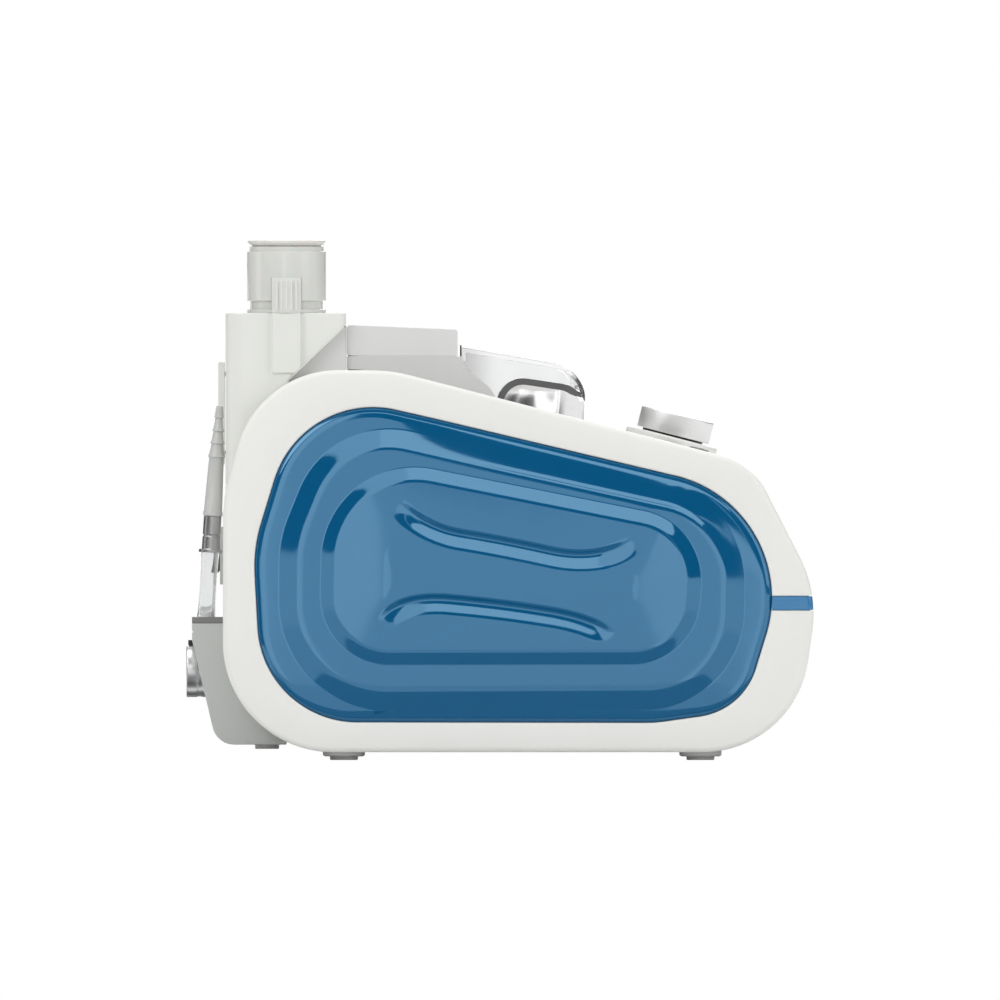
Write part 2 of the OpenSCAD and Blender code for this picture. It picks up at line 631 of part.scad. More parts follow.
// The skirt is cut away in front of this line to bare the pan as a finger grip
grip_x = -1.2;
grip_top = [10.5, lid_seat_z - 21.4, 11.7];
grip_nose = [26.4, lid_seat_z - 24.4, 12.3];
grip_front_z = lid_seat_z - 20.2;
function grip_side(t) = concat(
    [[grip_x + t, skirt_z - 1]], [[grip_x + t, grip_top[1]]],
    arc(grip_top, grip_top[2] - t, 180, 90 - bonnet_tilt, 8),
    arc(grip_nose, grip_nose[2] - t, 90 - bonnet_tilt,
        asin((grip_front_z - t - grip_nose[1]) / (grip_nose[2] - t)), 8),
    [[chamber_front + 5, grip_front_z - t], [chamber_front + 5, skirt_z - 1]]);
band_t = 3;
// The lid turns about a thin pin just inside its top rear edge, so that it opens without touching the hood
lid_x0 = chamber_x + 0.2;
barrel_r = 2.2;
hinge = [lid_x0 + barrel_r, lid_seat_z + lid_h - barrel_r];
pin_r = 1;
ear_y = [38, 43.7];
module chamber_tank() color(clear) difference() {
    union() {
        difference() {
            chamber_body(0, skirt_z);
            chamber_body(tank_wall, skirt_z - 1);
        }
        left_and_right() {
            along_y(hinge, barrel_r, ear_y[0] + free_fit, ear_y[1] - free_fit);
            block([lid_x0, hinge[0] + barrel_r], [ear_y[0] + free_fit, ear_y[1] - free_fit],
                [lid_seat_z - 1, hinge[1]]);
        }
    }
    slab(grip_side(0), -chamber_w, chamber_w);
    column(plan(filler_x[0], filler_x[1], filler_w, 6, 6), lid_seat_z - 10, lid_seat_z + 1);
    for (y = [-gas_port_side, gas_port_side])
        along_x([y, gas_port_z], gas_port_r, chamber_x - 1, chamber_x + tank_wall + 1);
    left_and_right() along_y(hinge, pin_r, ear_y[0] - 1, ear_y[1] + 1);
}
filler_x = [-52, -25];
filler_w = 72;
module chamber_seal() color(dark) {
    difference() {
        column(plan(chamber_x, chamber_front, chamber_w, 8, 14), skirt_z - seal_t, skirt_z);
        column(plan(chamber_x + tank_wall, chamber_front - tank_wall, chamber_w - 2 * tank_wall,
            8 - tank_wall, 14 - tank_wall), 0, 300);
    }
    difference() {
        intersection() {
            chamber_body(-0.3, skirt_z);
            slab(grip_side(0), -chamber_w, chamber_w);
        }
        chamber_body(tank_wall, skirt_z - 1);
        slab(grip_side(band_t), -chamber_w, chamber_w);
    }
    block([step_x - 0.7, step_x], [-chamber_w / 2 + 8, chamber_w / 2 - 8], [lid_seat_z, bonnet_z + 1]);
}
pan_rim_z = lid_seat_z - 5;
module chamber_pan() color(steel) difference() {
    union() {
        column(plan(chamber_x, chamber_front, chamber_w, 8, 14), chamber_z, chamber_z + pan_flange);
        intersection() {
            chamber_body(tank_wall + gap, chamber_z);
            slab(pan_side(0), -chamber_w, chamber_w);
        }
    }
    chamber_body(tank_wall + gap + pan_wall, chamber_z + pan_flange);
    for (y = [-gas_port_side, gas_port_side])
        along_x([y, gas_port_z], gas_port_r + 1, chamber_x - 1, chamber_x + 10);
}
// The pan's rim runs level at the rear and falls with the bonnet towards the front
rim_drop = 5;
function pan_side(t) = concat([[chamber_x - 1, chamber_z], [chamber_front + 1, chamber_z]],
    arc(bonnet_c, bonnet_r - rim_drop, 0, 90 - bonnet_tilt, 8),
    [[chamber_x - 1, pan_rim_z]]);
// Plate that keeps the gas from crossing straight between the two ports
module chamber_baffle() color(clear)
    block([filler_x[0] - 5, filler_x[0] - 3], [-24, 24], [gas_port_z - 14, lid_seat_z - tank_wall]);
lid_x1 = lid_x0 + lid_len;
lid_z0 = lid_seat_z + free_fit;
lid_wall = 2;
lid_front_r = 1.5;
// Reach of the lid's rear corner from the pin, which is what still clears the hood as the lid swings
heel_reach = hinge[0] - well_x0 - free_fit;
heel_angle = acos(barrel_r / heel_reach);
module filler_lid() color(smoke) difference() {
    slab(concat([[lid_x0, lid_z0 + free_fit], [hinge[0], lid_z0], [lid_x1, lid_z0]],
        arc([lid_x1 - lid_front_r, lid_seat_z + lid_h - lid_fall - lid_front_r], lid_front_r, 0, 88, 5),
        arc(hinge, heel_reach, 90 + heel_angle, 180 - heel_angle, 2)), -chamber_w / 2, chamber_w / 2);
    slab([[hinge[0] + barrel_r + lid_wall, lid_z0 - 1], [lid_x1 - lid_wall, lid_z0 - 1],
        [lid_x1 - lid_wall, lid_seat_z + lid_h - lid_fall - lid_wall - 0.2],
        [hinge[0] + barrel_r + lid_wall, lid_seat_z + lid_h - lid_wall - 0.4]],
        -chamber_w / 2 + lid_wall, chamber_w / 2 - lid_wall);
    left_and_right() block([chamber_x - 1, hinge[0] + barrel_r + free_fit + 0.5], ear_y,
        [lid_seat_z - 1, lid_seat_z + lid_h + 1]);
    along_y(hinge, pin_r + run_fit, -chamber_w / 2 - 1, chamber_w / 2 + 1);
}
module lid_pin() color(steel) along_y(hinge, pin_r, -chamber_w / 2 + 1, chamber_w / 2 - 1);

// Heater under the chamber
heater_x = [-62, 33];
heater_w = 88;
plate_t = 6;
plate_gap = 0.2;
module heater_plate() color(steel)
    column(plan(heater_x[0], heater_x[1], heater_w, 3, 3), chamber_z - plate_gap - plate_t,
        chamber_z - plate_gap);
module heater_insulator() color(dark) difference() {
    union() {
        block([heater_x[0] - 2, heater_x[1] + 2], [-heater_w / 2 - 2, heater_w / 2 + 2],
            [chamber_z - plate_t - 8, well_floor - wall]);
    }
    column(plan(heater_x[0], heater_x[1], heater_w, 3, 3), chamber_z - plate_gap - plate_t, 200);
}

// Console
console_top = console_proud;
console_under = console_proud - console_t;
glass_s = console_s + 5;
glass_y = knob_side - plinth_r - 1 - glass_size[1] / 2;
key_s = console_s + console_len - 8.5;
key_hole = key_r + free_fit;
neck_r = 5.9;
module console_plate() color(white) on_slope() difference() {
    column(plan(console_s, console_s + console_len, console_w, 5, 5), console_under, console_top);
    translate([0, glass_y, 0]) {
        column(plan(glass_s, glass_s + glass_size[0], glass_size[1], 2, 2), console_top - glass_t, 10);
        column(plan(glass_s + 2, glass_s + glass_size[0] - 2, glass_size[1] - 4, 1, 1), -10, 10);
    }
    for (y = key_y) translate([key_s, y, -10]) cylinder(r = key_hole, h = 20);
    translate([knob_s, knob_side, -10]) cylinder(r = neck_r, h = 20);
}
glass_t = 1.2;
key_y = [for (k = [-1, 0, 1]) glass_y + k * 18];
module display_glass() color(dark) on_slope(0, glass_y)
    column(plan(glass_s + gap, glass_s + glass_size[0] - gap, glass_size[1] - 2 * gap, 2, 2),
        console_top - glass_t, console_top);
module display_module() color(dark) on_slope(0, glass_y)
    column(plan(glass_s, glass_s + glass_size[0], glass_size[1] - 1, 1, 1), console_under - 5,
        console_under);
board_n = -7.5;
module key_board() color(board_green) on_slope() {
    block([key_s - 4.6, key_s + 4.6], [key_y[0] - 9, key_y[2] + 9], [board_n, board_n + 1.5]);
    for (y = [key_y[0] - 7.5, key_y[2] + 7.5]) translate([key_s, y, board_n + 1])
        cylinder(r = 1.4, h = console_under - board_n - 1);
    for (y = key_y) translate([key_s, y, board_n + 1]) cylinder(r = 1.8, h = 1);
}
module key_cap(y) color(light_grey) on_slope(key_s, y) rotate_extrude() polygon([
    [0, key_foot], [1.3, key_foot], [1.3, console_under - 1.4], [key_r + 0.6, console_under - 1.4],
    [key_r + 0.6, console_under - 0.4], [key_r, console_under - 0.4], [key_r, console_top + 0.8],
    [key_r - 0.5, console_top + 1.2], [0, console_top + 1.4]]);
key_foot = board_n + 2 + key_travel + 0.2;
module standby_key() key_cap(key_y[0]);
module mute_key() key_cap(key_y[1]);
module mode_key() key_cap(key_y[2]);

// Knob with its push-and-turn encoder
shaft_r = 3;
plunger_r = 4.6;
plinth_top = console_top + plinth_h;
knob_n = plinth_top + knob_gap;
module knob_axis() {
    on_slope(knob_s, knob_side) children();
}
module knob_plinth() color(white) knob_axis() rotate_extrude() polygon([
    [neck_r, console_top], [plinth_r, console_top], [plinth_r, plinth_top - 1.2],
    [plinth_r - 0.4, plinth_top - 0.35], [plinth_r - 1.2, plinth_top], [neck_r, plinth_top]]);
module encoder_body() color(dark) knob_axis() difference() {
    union() {
        block([-7, 7], [-7, 7], [console_under - 8.5, console_under]);
        translate([0, 0, console_under]) cylinder(r = neck_r, h = plinth_top - console_under);
    }
    translate([0, 0, console_under - 6.7 - knob_travel]) cylinder(r = 6.4, h = 3.6 + knob_travel);
    translate([0, 0, console_under - 4]) cylinder(r = plunger_r + run_fit, h = 30);
}
plunger_n = console_under - 4.6;
module encoder_plunger() color(steel) knob_axis() rotate_extrude() polygon([
    [shaft_r + run_fit, plunger_n], [6, plunger_n], [6, plunger_n + 1], [plunger_r, plunger_n + 1],
    [plunger_r, knob_n - 0.2], [shaft_r + run_fit, knob_n - 0.2]]);
module encoder_shaft() color(steel) knob_axis() rotate_extrude() polygon([
    [0, plunger_n - 1.3], [4, plunger_n - 1.3], [4, plunger_n - 0.1], [shaft_r, plunger_n - 0.1],
    [shaft_r, knob_n + knob_h - 2], [0, knob_n + knob_h - 2]]);
module knob() color(steel) knob_axis() rotate_extrude() polygon(concat([
    [shaft_r, knob_n + 0.1], [6, knob_n + 0.1], [6, knob_n + knob_h - 3], [knob_r - 1.8, knob_n + knob_h - 3],
    [knob_r - 1.8, knob_n], [knob_r - 0.3, knob_n], [knob_r, knob_n + 0.3], [knob_r, knob_n + knob_h - 2]],
    arc([knob_r - 0.8, knob_n + knob_h - 1.8], 0.8, 0, 80, 4),
    [[knob_r * 0.6, knob_n + knob_h - 0.4], [0, knob_n + knob_h], [0, knob_n + knob_h - 2],
        [shaft_r, knob_n + knob_h - 2]]));

// Gas block behind the back wall
block_x = tower_rear_x - block_out;
block_z0 = 6.9;
block_slant = 13.3;
slant_z = 54;
block_heel_r = 10;
block_heel = let (z = block_z0 + block_heel_r, zt = z - block_heel_r * sin(block_slant))
    [block_x + (slant_z - zt) * tan(block_slant) + block_heel_r * cos(block_slant), z];
function block_side(t) = concat(
    [[block_x + t, block_top_z - cap_t], [block_x + t, slant_z]],
    arc(block_heel, block_heel_r - t, 180 + block_slant, 270, 8),
    [[-96, block_z0 + t], [-90, 40], [-90, block_top_z - cap_t]]);
bumper_t = 1.2;
// Strip of the block's lower rear corner that the bumper wraps
function bumper_side(r0, r1) = concat(arc(block_heel, r1, 190, 252, 8), arc(block_heel, r0, 252, 190, 8));
coupler_seat_x = -128;
coupler_front = -141;
module gas_block() color(light_grey) {
    difference() {
        slab(block_side(0), -block_w / 2, block_w / 2);
        centre_body(0);
        slab(bumper_side(block_heel_r - bumper_t, block_heel_r + 3), -block_w / 2 + 5, block_w / 2 - 5);
        along_x([-coupler_side, coupler_z], coupler_r, coupler_front, coupler_seat_x);
        translate([release_x, -coupler_side, coupler_z])
            cylinder(r = release_r + free_fit, h = release_top + 1);
        difference() {
            block([-145, block_x + 0.6], [-60, 60], [57.4, 58]);
            block([block_x + 0.6, -100], [-49, 49], [50, 60]);
        }
        on_riser() translate([0, 0, -cap_t - 6]) cylinder(r = 2.4, h = 20);
    }
    for (y = [-38, 38]) translate([-104.7, y, block_z0 - 1.9]) cylinder(r = 5.4, h = 2);
}
module block_cap() color(dark) difference() {
    block([block_x, tower_rear_x], [-block_w / 2, block_w / 2], [block_top_z - cap_t, block_top_z]);
    on_riser() translate([0, 0, -riser_seat]) cylinder(r = riser_r, h = 20);
    on_riser() translate([0, 0, -20]) cylinder(r = 2.4, h = 40);
}
module oxygen_coupler() color(steel) difference() {
    translate([coupler_seat_x, -coupler_side, coupler_z]) rotate([0, -90, 0]) rotate_extrude() polygon([
        [0, 0], [coupler_r, 0], [coupler_r, 5.5], [coupler_r - 0.8, 6], [coupler_r - 0.8, 8],
        [coupler_r, 8.5], [coupler_r, 12.4], [coupler_r - 0.6, 13], [coupler_bore_r + 1, 13],
        [coupler_bore_r, 12.2], [coupler_bore_r, 13 - coupler_bore_d], [0, 13 - coupler_bore_d]]);
    translate([release_x, -coupler_side, coupler_z + release_seat - 0.2])
        cylinder(r = release_r + run_fit, h = 10);
}
release_x = -139.1;
release_r = 1.1;
release_travel = 1.2;
// Height of the pin's top above the coupler's axis, and of its seat
release_top = 14;
release_seat = 6.4;
module coupler_release() color(dark)
    translate([release_x, -coupler_side, coupler_z + release_seat + release_travel])
        cylinder(r = release_r, h = release_top - release_seat - release_travel);
riser_x = block_x + 6.4;
riser_seat = 1.5;
module on_riser() {
    translate([riser_x, -riser_side, block_top_z]) rotate([0, riser_tilt, 0]) children();
}
module riser_tube() color(clear) on_riser() translate([0, 0, -riser_seat]) difference() {
    cylinder(r = riser_r, h = riser_len + riser_seat);
    translate([0, 0, -1]) cylinder(r = riser_r - 1.7, h = riser_len + 10);
}
collar_h = 16.5;
module riser_collar() color(steel) on_riser() translate([0, 0, riser_len]) rotate_extrude() polygon([
    [2.4, 0], [riser_r + 1.2, 0], [riser_r + 1.2, 1.4], [riser_r - 0.1, 1.8], [riser_r - 0.1, 7],
    [riser_r - 0.5, 7.3], [riser_r - 0.5, 8], [riser_r - 0.1, 8.3], [riser_r - 0.1, collar_h],
    [2.4, collar_h]]);
module inlet_barb() color(smoke) on_riser() translate([0, 0, riser_len + collar_h]) rotate_extrude()
    polygon([[0.9, 0], [riser_r + 0.2, 0], [riser_r + 0.3, 0.5], [riser_r + 0.3, 1.8], [riser_r, 2.2],
        [3.3, 26.5], [3.9, 26.6], [3.3, 28], [2.6, 32.6], [3.2, 32.7], [2.7, 34], [2.1, 38.2], [2.7, 38.3],
        [2.2, 39.6], [1.6, 44.2], [2.1, 44.3], [1.5, 49.6], [0.9, 49.6]]);
module heel_bumper() color(dark) slab(bumper_side(block_heel_r - bumper_t, block_heel_r),
    -block_w / 2 + 5.2, block_w / 2 - 5.2);

// Mains inlet with its rocker switch
inlet_body = [46, 20];
socket_y = inlet_side - 9;
rocker_y = inlet_side + 16;
socket = [24, 16.5];
rocker_hole = [10, 19];
flange_t = 2.5;
module mains_inlet() color(dark) difference() {
    union() {
        block([tower_rear_x - flange_t, tower_rear_x],
            [inlet_side - inlet_flange[0] / 2, inlet_side + inlet_flange[0] / 2],
            [inlet_z - inlet_flange[1] / 2, inlet_z + inlet_flange[1] / 2]);
        block([tower_rear_x - 1, tower_rear_x + 22],
            [inlet_side - inlet_body[0] / 2, inlet_side + inlet_body[0] / 2],
            [inlet_z - inlet_body[1] / 2, inlet_z + inlet_body[1] / 2]);
    }
    block([tower_rear_x - flange_t - 1, tower_rear_x + 15],
        [socket_y - socket[0] / 2, socket_y + socket[0] / 2],
        [inlet_z - socket[1] / 2, inlet_z + socket[1] / 2]);
    block([tower_rear_x - flange_t - 1, tower_rear_x + 12],
        [rocker_y - rocker_hole[0] / 2, rocker_y + rocker_hole[0] / 2],
        [inlet_z - rocker_hole[1] / 2, inlet_z + rocker_hole[1] / 2]);
    for (p = pin_spots)
        block([tower_rear_x + 10, tower_rear_x + 30], [p[0] - 1, p[0] + 1], [p[1] - 2, p[1] + 2]);
    along_y(rocker_axis, rocker_pin_r + run_fit, rocker_y - rocker_reach - 0.1,
        rocker_y + rocker_reach + 0.1);
}
pin_spots = [[socket_y - 7, inlet_z - 2], [socket_y, inlet_z + 2], [socket_y + 7, inlet_z - 2]];
module inlet_pins() color(brass) for (p = pin_spots)
    block([tower_rear_x + 5, tower_rear_x + 22], [p[0] - 1, p[0] + 1], [p[1] - 2, p[1] + 2]);
rocker_axis = [tower_rear_x + 1.5, inlet_z];
rocker_half = 8.6;
// Pins that carry the rocker in the inlet's side walls
rocker_pin_r = 1.2;
rocker_reach = rocker_hole[0] / 2 + 1;
module switch_rocker() color(dark) {
    along_y(rocker_axis, rocker_pin_r, rocker_y - rocker_reach, rocker_y + rocker_reach);
    translate([rocker_axis[0], 0, rocker_axis[1]]) rotate([0, rocker_swing / 2, 0])
        slab([[5, -2], [5, 2], [0, 3.5], [-4, rocker_half], [-4 - 2.2, rocker_half - 0.4], [-4.6, 0],
            [-4 - 2.2, 0.4 - rocker_half], [-4, -rocker_half], [0, -3.5]],
            rocker_y - rocker_hole[0] / 2 + free_fit, rocker_y + rocker_hole[0] / 2 - free_fit);
}

// Filter in the rear of the tower
foam = [filter_size[0] - 8, filter_size[1] - 8];
slots = 7;
module filter_cover() color(light_grey) difference() {
    union() {
        block([tower_rear_x - free_fit - filter_t, tower_rear_x - free_fit],
            [filter_side - filter_size[0] / 2, filter_side + filter_size[0] / 2],
            [filter_z - filter_size[1] / 2, filter_z + filter_size[1] / 2]);
        for (z = [-1, 1]) block([tower_rear_x - 1, tower_rear_x + 2], [filter_side - 6, filter_side + 6],
            [filter_z + z * (foam[1] / 2 - 1.3) - 0.8, filter_z + z * (foam[1] / 2 - 1.3) + 0.8]);
    }
    for (i = [0:slots - 1]) block([tower_rear_x - 10, tower_rear_x - free_fit + 0.01],
        [filter_side - foam[0] / 2 + 2, filter_side + foam[0] / 2 - 2],
        [filter_z + (i - (slots - 1) / 2) * 5 - 1.3, filter_z + (i - (slots - 1) / 2) * 5 + 1.3]);
}
module air_filter() color(dark) block([tower_rear_x + 2.6, tray_x - 2],
    [filter_side - foam[0] / 2, filter_side + foam[0] / 2], [filter_z - foam[1] / 2, filter_z + foam[1] / 2]);

// Blower: the volute's wall spirals out from its tongue to the outlet
volute_grow = 10;
blower_t = 2;
cavity_h = 22;
function spiral(t) = [for (i = [0:35]) let (a = i * 10)
    [(volute_r - t + volute_grow * i / 35) * cos(a), (volute_r - t + volute_grow * i / 35) * sin(a)]];
module blower_volute() color(smoke) translate([blower_x, 0, blower_z]) difference() {
    union() {
        linear_extrude(cavity_h + 2 * blower_t) polygon(spiral(0));
        block([volute_r - 14, volute_r + volute_grow], [-2, 44], [0, cavity_h + 2 * blower_t]);
    }
    translate([0, 0, blower_t]) linear_extrude(cavity_h) polygon(spiral(blower_t));
    block([volute_r - 14 + blower_t, volute_r + volute_grow - blower_t], [0, 60],
        [blower_t, cavity_h + blower_t]);
    translate([0, 0, blower_t]) cylinder(r = 12, h = 60);
    translate([0, 0, -1]) cylinder(r = 4, h = 10);
}
module blower_impeller() color(white) translate([blower_x, 0, blower_z + blower_t + 1.5]) {
    cylinder(r = impeller_r, h = 2);
    cylinder(r = hub_r, h = 16);
    translate([0, 0, -14]) cylinder(r = motor_shaft_r, h = 15);
    // Backward-curved blades, each a sector of a ring
    for (i = [0:blades - 1]) rotate(i * 360 / blades) translate([0, -blade_r, 1])
        rotate_extrude(angle = blade_sweep, start = 90 - blade_sweep) translate([blade_r - 0.6, 0])
            square([1.2, 13]);
}
hub_r = 8;
motor_shaft_r = 2.5;
blade_r = 16;
// Angle over which a blade runs from inside the hub to just short of the rim
blade_sweep = 2 * asin((impeller_r - 1) / (2 * blade_r));
module blower_motor() color(steel) difference() {
    translate([blower_x, 0, base_top]) {
        cylinder(r = motor_r, h = blower_z - base_top);
        cylinder(r = motor_r + 3, h = 2);
    }
    translate([blower_x, 0, blower_z - 14]) cylinder(r = motor_shaft_r + run_fit, h = 20);
}
// Oxygen valve: a square body that carries its round coil, on the inside of the back wall
valve_size = [22, 30, 20];
valve_z = block_top_z - 0.4;
valve_side = 35;
coil_r = 9;
coil_len = 30;
coil_gap = 1;
module oxygen_valve() color(brass) {
    x = tower_rear_x + wall;
    top = valve_z + valve_size[2];
    block([x, x + valve_size[0]], [-valve_side - valve_size[1] / 2, -valve_side + valve_size[1] / 2],
        [valve_z, top]);
    along_x([-valve_side, top + coil_gap + coil_r], coil_r, x, x + coil_len);
    block([x, x + valve_size[0]], [-valve_side - 6, -valve_side + 6], [top - 1, top + coil_gap + 2]);
}
// Power supply: an open tray with its transformer and four capacitors
supply_x = [-52, 16];
supply_w = 76;
supply_top = 44;
tray_t = 3;
core = [28, 26, 26.4];
cap_r = 6;
cap_h = 24;
module power_supply() color(steel) {
    floor_z = base_top + tray_t - 1;
    block(supply_x, [-supply_w / 2, supply_w / 2], [base_top, base_top + tray_t]);
    left_and_right() block(supply_x, [supply_w / 2 - 2, supply_w / 2], [base_top, supply_top]);
    block([supply_x[0] + 6, supply_x[0] + 6 + core[0]], [-4 - core[1], -4], [floor_z, floor_z + core[2]]);
    for (x = [supply_x[1] - 24, supply_x[1] - 10], y = [4, 22]) translate([x, y, floor_z])
        cylinder(r = cap_r, h = cap_h);
}
// Main board on four pillars over the power supply
board_x = [-60, 24];
board_w = 92;
board_z = 66;
board_t = 1.6;
pillar_r = 2.5;
module main_board() color(board_green) {
    block(board_x, [-board_w / 2, board_w / 2], [board_z, board_z + board_t]);
    for (x = [board_x[0] + 3, board_x[1] - 3], y = [3 - board_w / 2, board_w / 2 - 3])
        translate([x, y, base_top]) cylinder(r = pillar_r, h = board_z + board_t / 2 - base_top);
    // Processor, and the row of connectors at the front edge
    block([board_x[0] + 30, board_x[0] + 54], [-14, 10], [board_z + board_t / 2, board_z + 4]);
    block([board_x[1] - 22, board_x[1] - 8], [-30, 30], [board_z + board_t / 2, board_z + 8]);
}

main_housing();
base_cover();
base_screws();
right_side_frame();
left_side_frame();
right_side_panel();
left_side_panel();
light_bar();
foot_rear_right();
foot_rear_left();
foot_front_right();
foot_front_left();
outlet_tower();
elbow_hood();
port_collar();
port_sleeve();
port_seal();
contact_tab();
outlet_elbow();
inlet_elbow();
chamber_port_seals();
chamber_tank();
chamber_seal();
chamber_pan();
chamber_baffle();
filler_lid();
lid_pin();
heater_plate();
heater_insulator();
console_plate();
display_glass();
display_module();
key_board();
standby_key();
mute_key();
mode_key();
knob();
knob_plinth();
encoder_body();
encoder_plunger();
encoder_shaft();
gas_block();
block_cap();
oxygen_coupler();
coupler_release();
riser_tube();
riser_collar();
inlet_barb();
heel_bumper();
mains_inlet();
inlet_pins();
switch_rocker();
filter_cover();
air_filter();
blower_volute();
blower_impeller();
blower_motor();
oxygen_valve();
main_board();
power_supply();
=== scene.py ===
import math

import bmesh
import bpy
from mathutils import Matrix, Vector


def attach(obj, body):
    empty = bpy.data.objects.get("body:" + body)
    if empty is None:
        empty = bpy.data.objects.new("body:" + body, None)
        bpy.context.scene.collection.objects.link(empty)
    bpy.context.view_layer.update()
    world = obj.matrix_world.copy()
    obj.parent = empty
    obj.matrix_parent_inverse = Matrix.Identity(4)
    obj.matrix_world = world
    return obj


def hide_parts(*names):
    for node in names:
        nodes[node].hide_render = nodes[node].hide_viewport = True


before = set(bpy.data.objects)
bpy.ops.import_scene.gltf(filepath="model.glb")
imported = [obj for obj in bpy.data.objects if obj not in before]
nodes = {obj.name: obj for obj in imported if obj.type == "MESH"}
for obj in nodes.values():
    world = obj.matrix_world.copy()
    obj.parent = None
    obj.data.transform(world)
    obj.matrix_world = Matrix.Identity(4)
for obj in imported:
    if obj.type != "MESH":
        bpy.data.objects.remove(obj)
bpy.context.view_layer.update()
MM = 0.001

# The room: a pale floor, a white surround and soft lamps, with the camera level at the machine's right side.
# The surround lights the machine more weakly than the camera sees it, so white plastic keeps its own shade.
# Dark flags stand beyond the camera's view. Only polished surfaces see them, as they would a studio's ceiling.
scene = bpy.context.scene
scene.view_settings.view_transform = "Standard"
VIEW_WIDTH, EYE_PLACE, EYE_RANGE = 450 * MM, (0.1125 * MM, -2, 117 * MM), (0.01, 20)
eye = bpy.data.cameras.new("side_camera")
eye.type = "ORTHO"
eye.ortho_scale = VIEW_WIDTH
eye.clip_start, eye.clip_end = EYE_RANGE
camera = bpy.data.objects.new("side_camera", eye)
scene.collection.objects.link(camera)
camera.location = EYE_PLACE
camera.rotation_euler = (math.radians(90), 0, 0)
scene.camera = camera


def set_sockets(node, **values):
    """Sets inputs of a node by name, with an underline for each space"""
    for label, value in values.items():
        node.inputs[label.replace("_", " ")].default_value = value


def put(tree, value, socket):
    """Gives a socket what another socket puts out, or a number or colour"""
    if hasattr(value, "is_output"):
        tree.links.new(value, socket)
    else:
        socket.default_value = value


def math_node(tree, operation, *values):
    """The result of a Math node on sockets or numbers"""
    made = tree.nodes.new("ShaderNodeMath")
    made.operation = operation
    for socket, value in zip(made.inputs, values):
        put(tree, value, socket)
    return made.outputs[0]


def ramp(tree, value, **limits):
    """A value mapped from one range to another, from 0 to 1 where nothing else is given"""
    mapped = tree.nodes.new("ShaderNodeMapRange")
    set_sockets(mapped, **limits)
    tree.links.new(value, mapped.inputs["Value"])
    return mapped.outputs["Result"]


SURROUND_LIGHT = 0.57
surround = bpy.data.worlds.new("pale_surround")
scene.world = surround
surround.use_nodes = True
sky = surround.node_tree
rays = sky.nodes.new("ShaderNodeLightPath").outputs
seen = math_node(sky, "MAXIMUM", rays["Is Camera Ray"], rays["Is Glossy Ray"])
seen = math_node(sky, "MAXIMUM", seen, rays["Is Transmission Ray"])
backdrop = sky.nodes["Background"]
set_sockets(backdrop, Color=(1, 1, 1, 1))
sky.links.new(ramp(sky, seen, To_Min=SURROUND_LIGHT), backdrop.inputs["Strength"])


def look_from(place, aim):
    """Turn for an object at place whose -Z axis points at aim"""
    return (Vector(aim) - Vector(place)).to_track_quat("-Z", "Y").to_euler()


# Each lamp has its name, place, width in metres and power in watts
AIM = (0, 0, 0.11)
LAMPS = (("key_lamp", (-1.3, -1.5, 1.4), 1.3, 14), ("fill_lamp", (1.7, -1.2, 0.9), 1.4, 8),
         ("back_lamp", (0.3, 1.9, 1.3), 1.5, 14), ("top_lamp", (0, -0.2, 1.9), 1.2, 8))
for name, place, size, power in LAMPS:
    light = bpy.data.lights.new(name, "AREA")
    light.size = size
    light.energy = power
    lamp = bpy.data.objects.new(name, light)
    scene.collection.objects.link(lamp)
    lamp.location = place
    lamp.rotation_euler = look_from(place, AIM)


def new_material(name):
    """A material, its node tree and its shader"""
    material = bpy.data.materials.new(name)
    material.use_nodes = True
    return material, material.node_tree, material.node_tree.nodes["Principled BSDF"]


FLOOR_PALE, FLOOR_RADIUS = (0.86, 0.86, 0.85, 1), 4
bpy.ops.object.select_all(action="DESELECT")
bpy.ops.mesh.primitive_circle_add(vertices=96, radius=FLOOR_RADIUS, fill_type="NGON")
floor = bpy.context.object
floor.name = "floor"
paper, _, shader = new_material("floor_paper")
set_sockets(shader, Base_Color=FLOOR_PALE, Roughness=0.9)
floor.data.materials.append(paper)
floor.visible_glossy = False

# Cards stand far beyond the view, before and behind the machine. Each has its brightness and its place as seen
# from there: from and to in degrees sideways, then in degrees up
CARD_AWAY = 6
CARDS = (("wedge_flag", 0.03, (-2, 9), (4, 14)), ("right_flag", 0.03, (10, 34), (0.5, 26)),
         ("left_flag", 0.03, (-34, -13), (1.75, 18)), ("high_flag", 0.05, (-60, 60), (28, 62)),
         ("far_right_flag", 0.05, (35, 80), (1, 27)), ("far_left_flag", 0.05, (-80, -35), (-12, 27)),
         ("left_glow", 1.5, (-12, -2.5), (-12, 27)), ("right_glow", 1.4, (2.5, 9.5), (-14, 3.5)),
         ("top_glow", 1.9, (-2, 30), (27, 14.5)), ("low_shade", 0.24, (-34, 34), (-42, -15)),
         ("sole_shade", 0.8, (-34, 34), (-15, -5)), ("deep_shade", 0.06, (-60, 60), (-80, -43)))
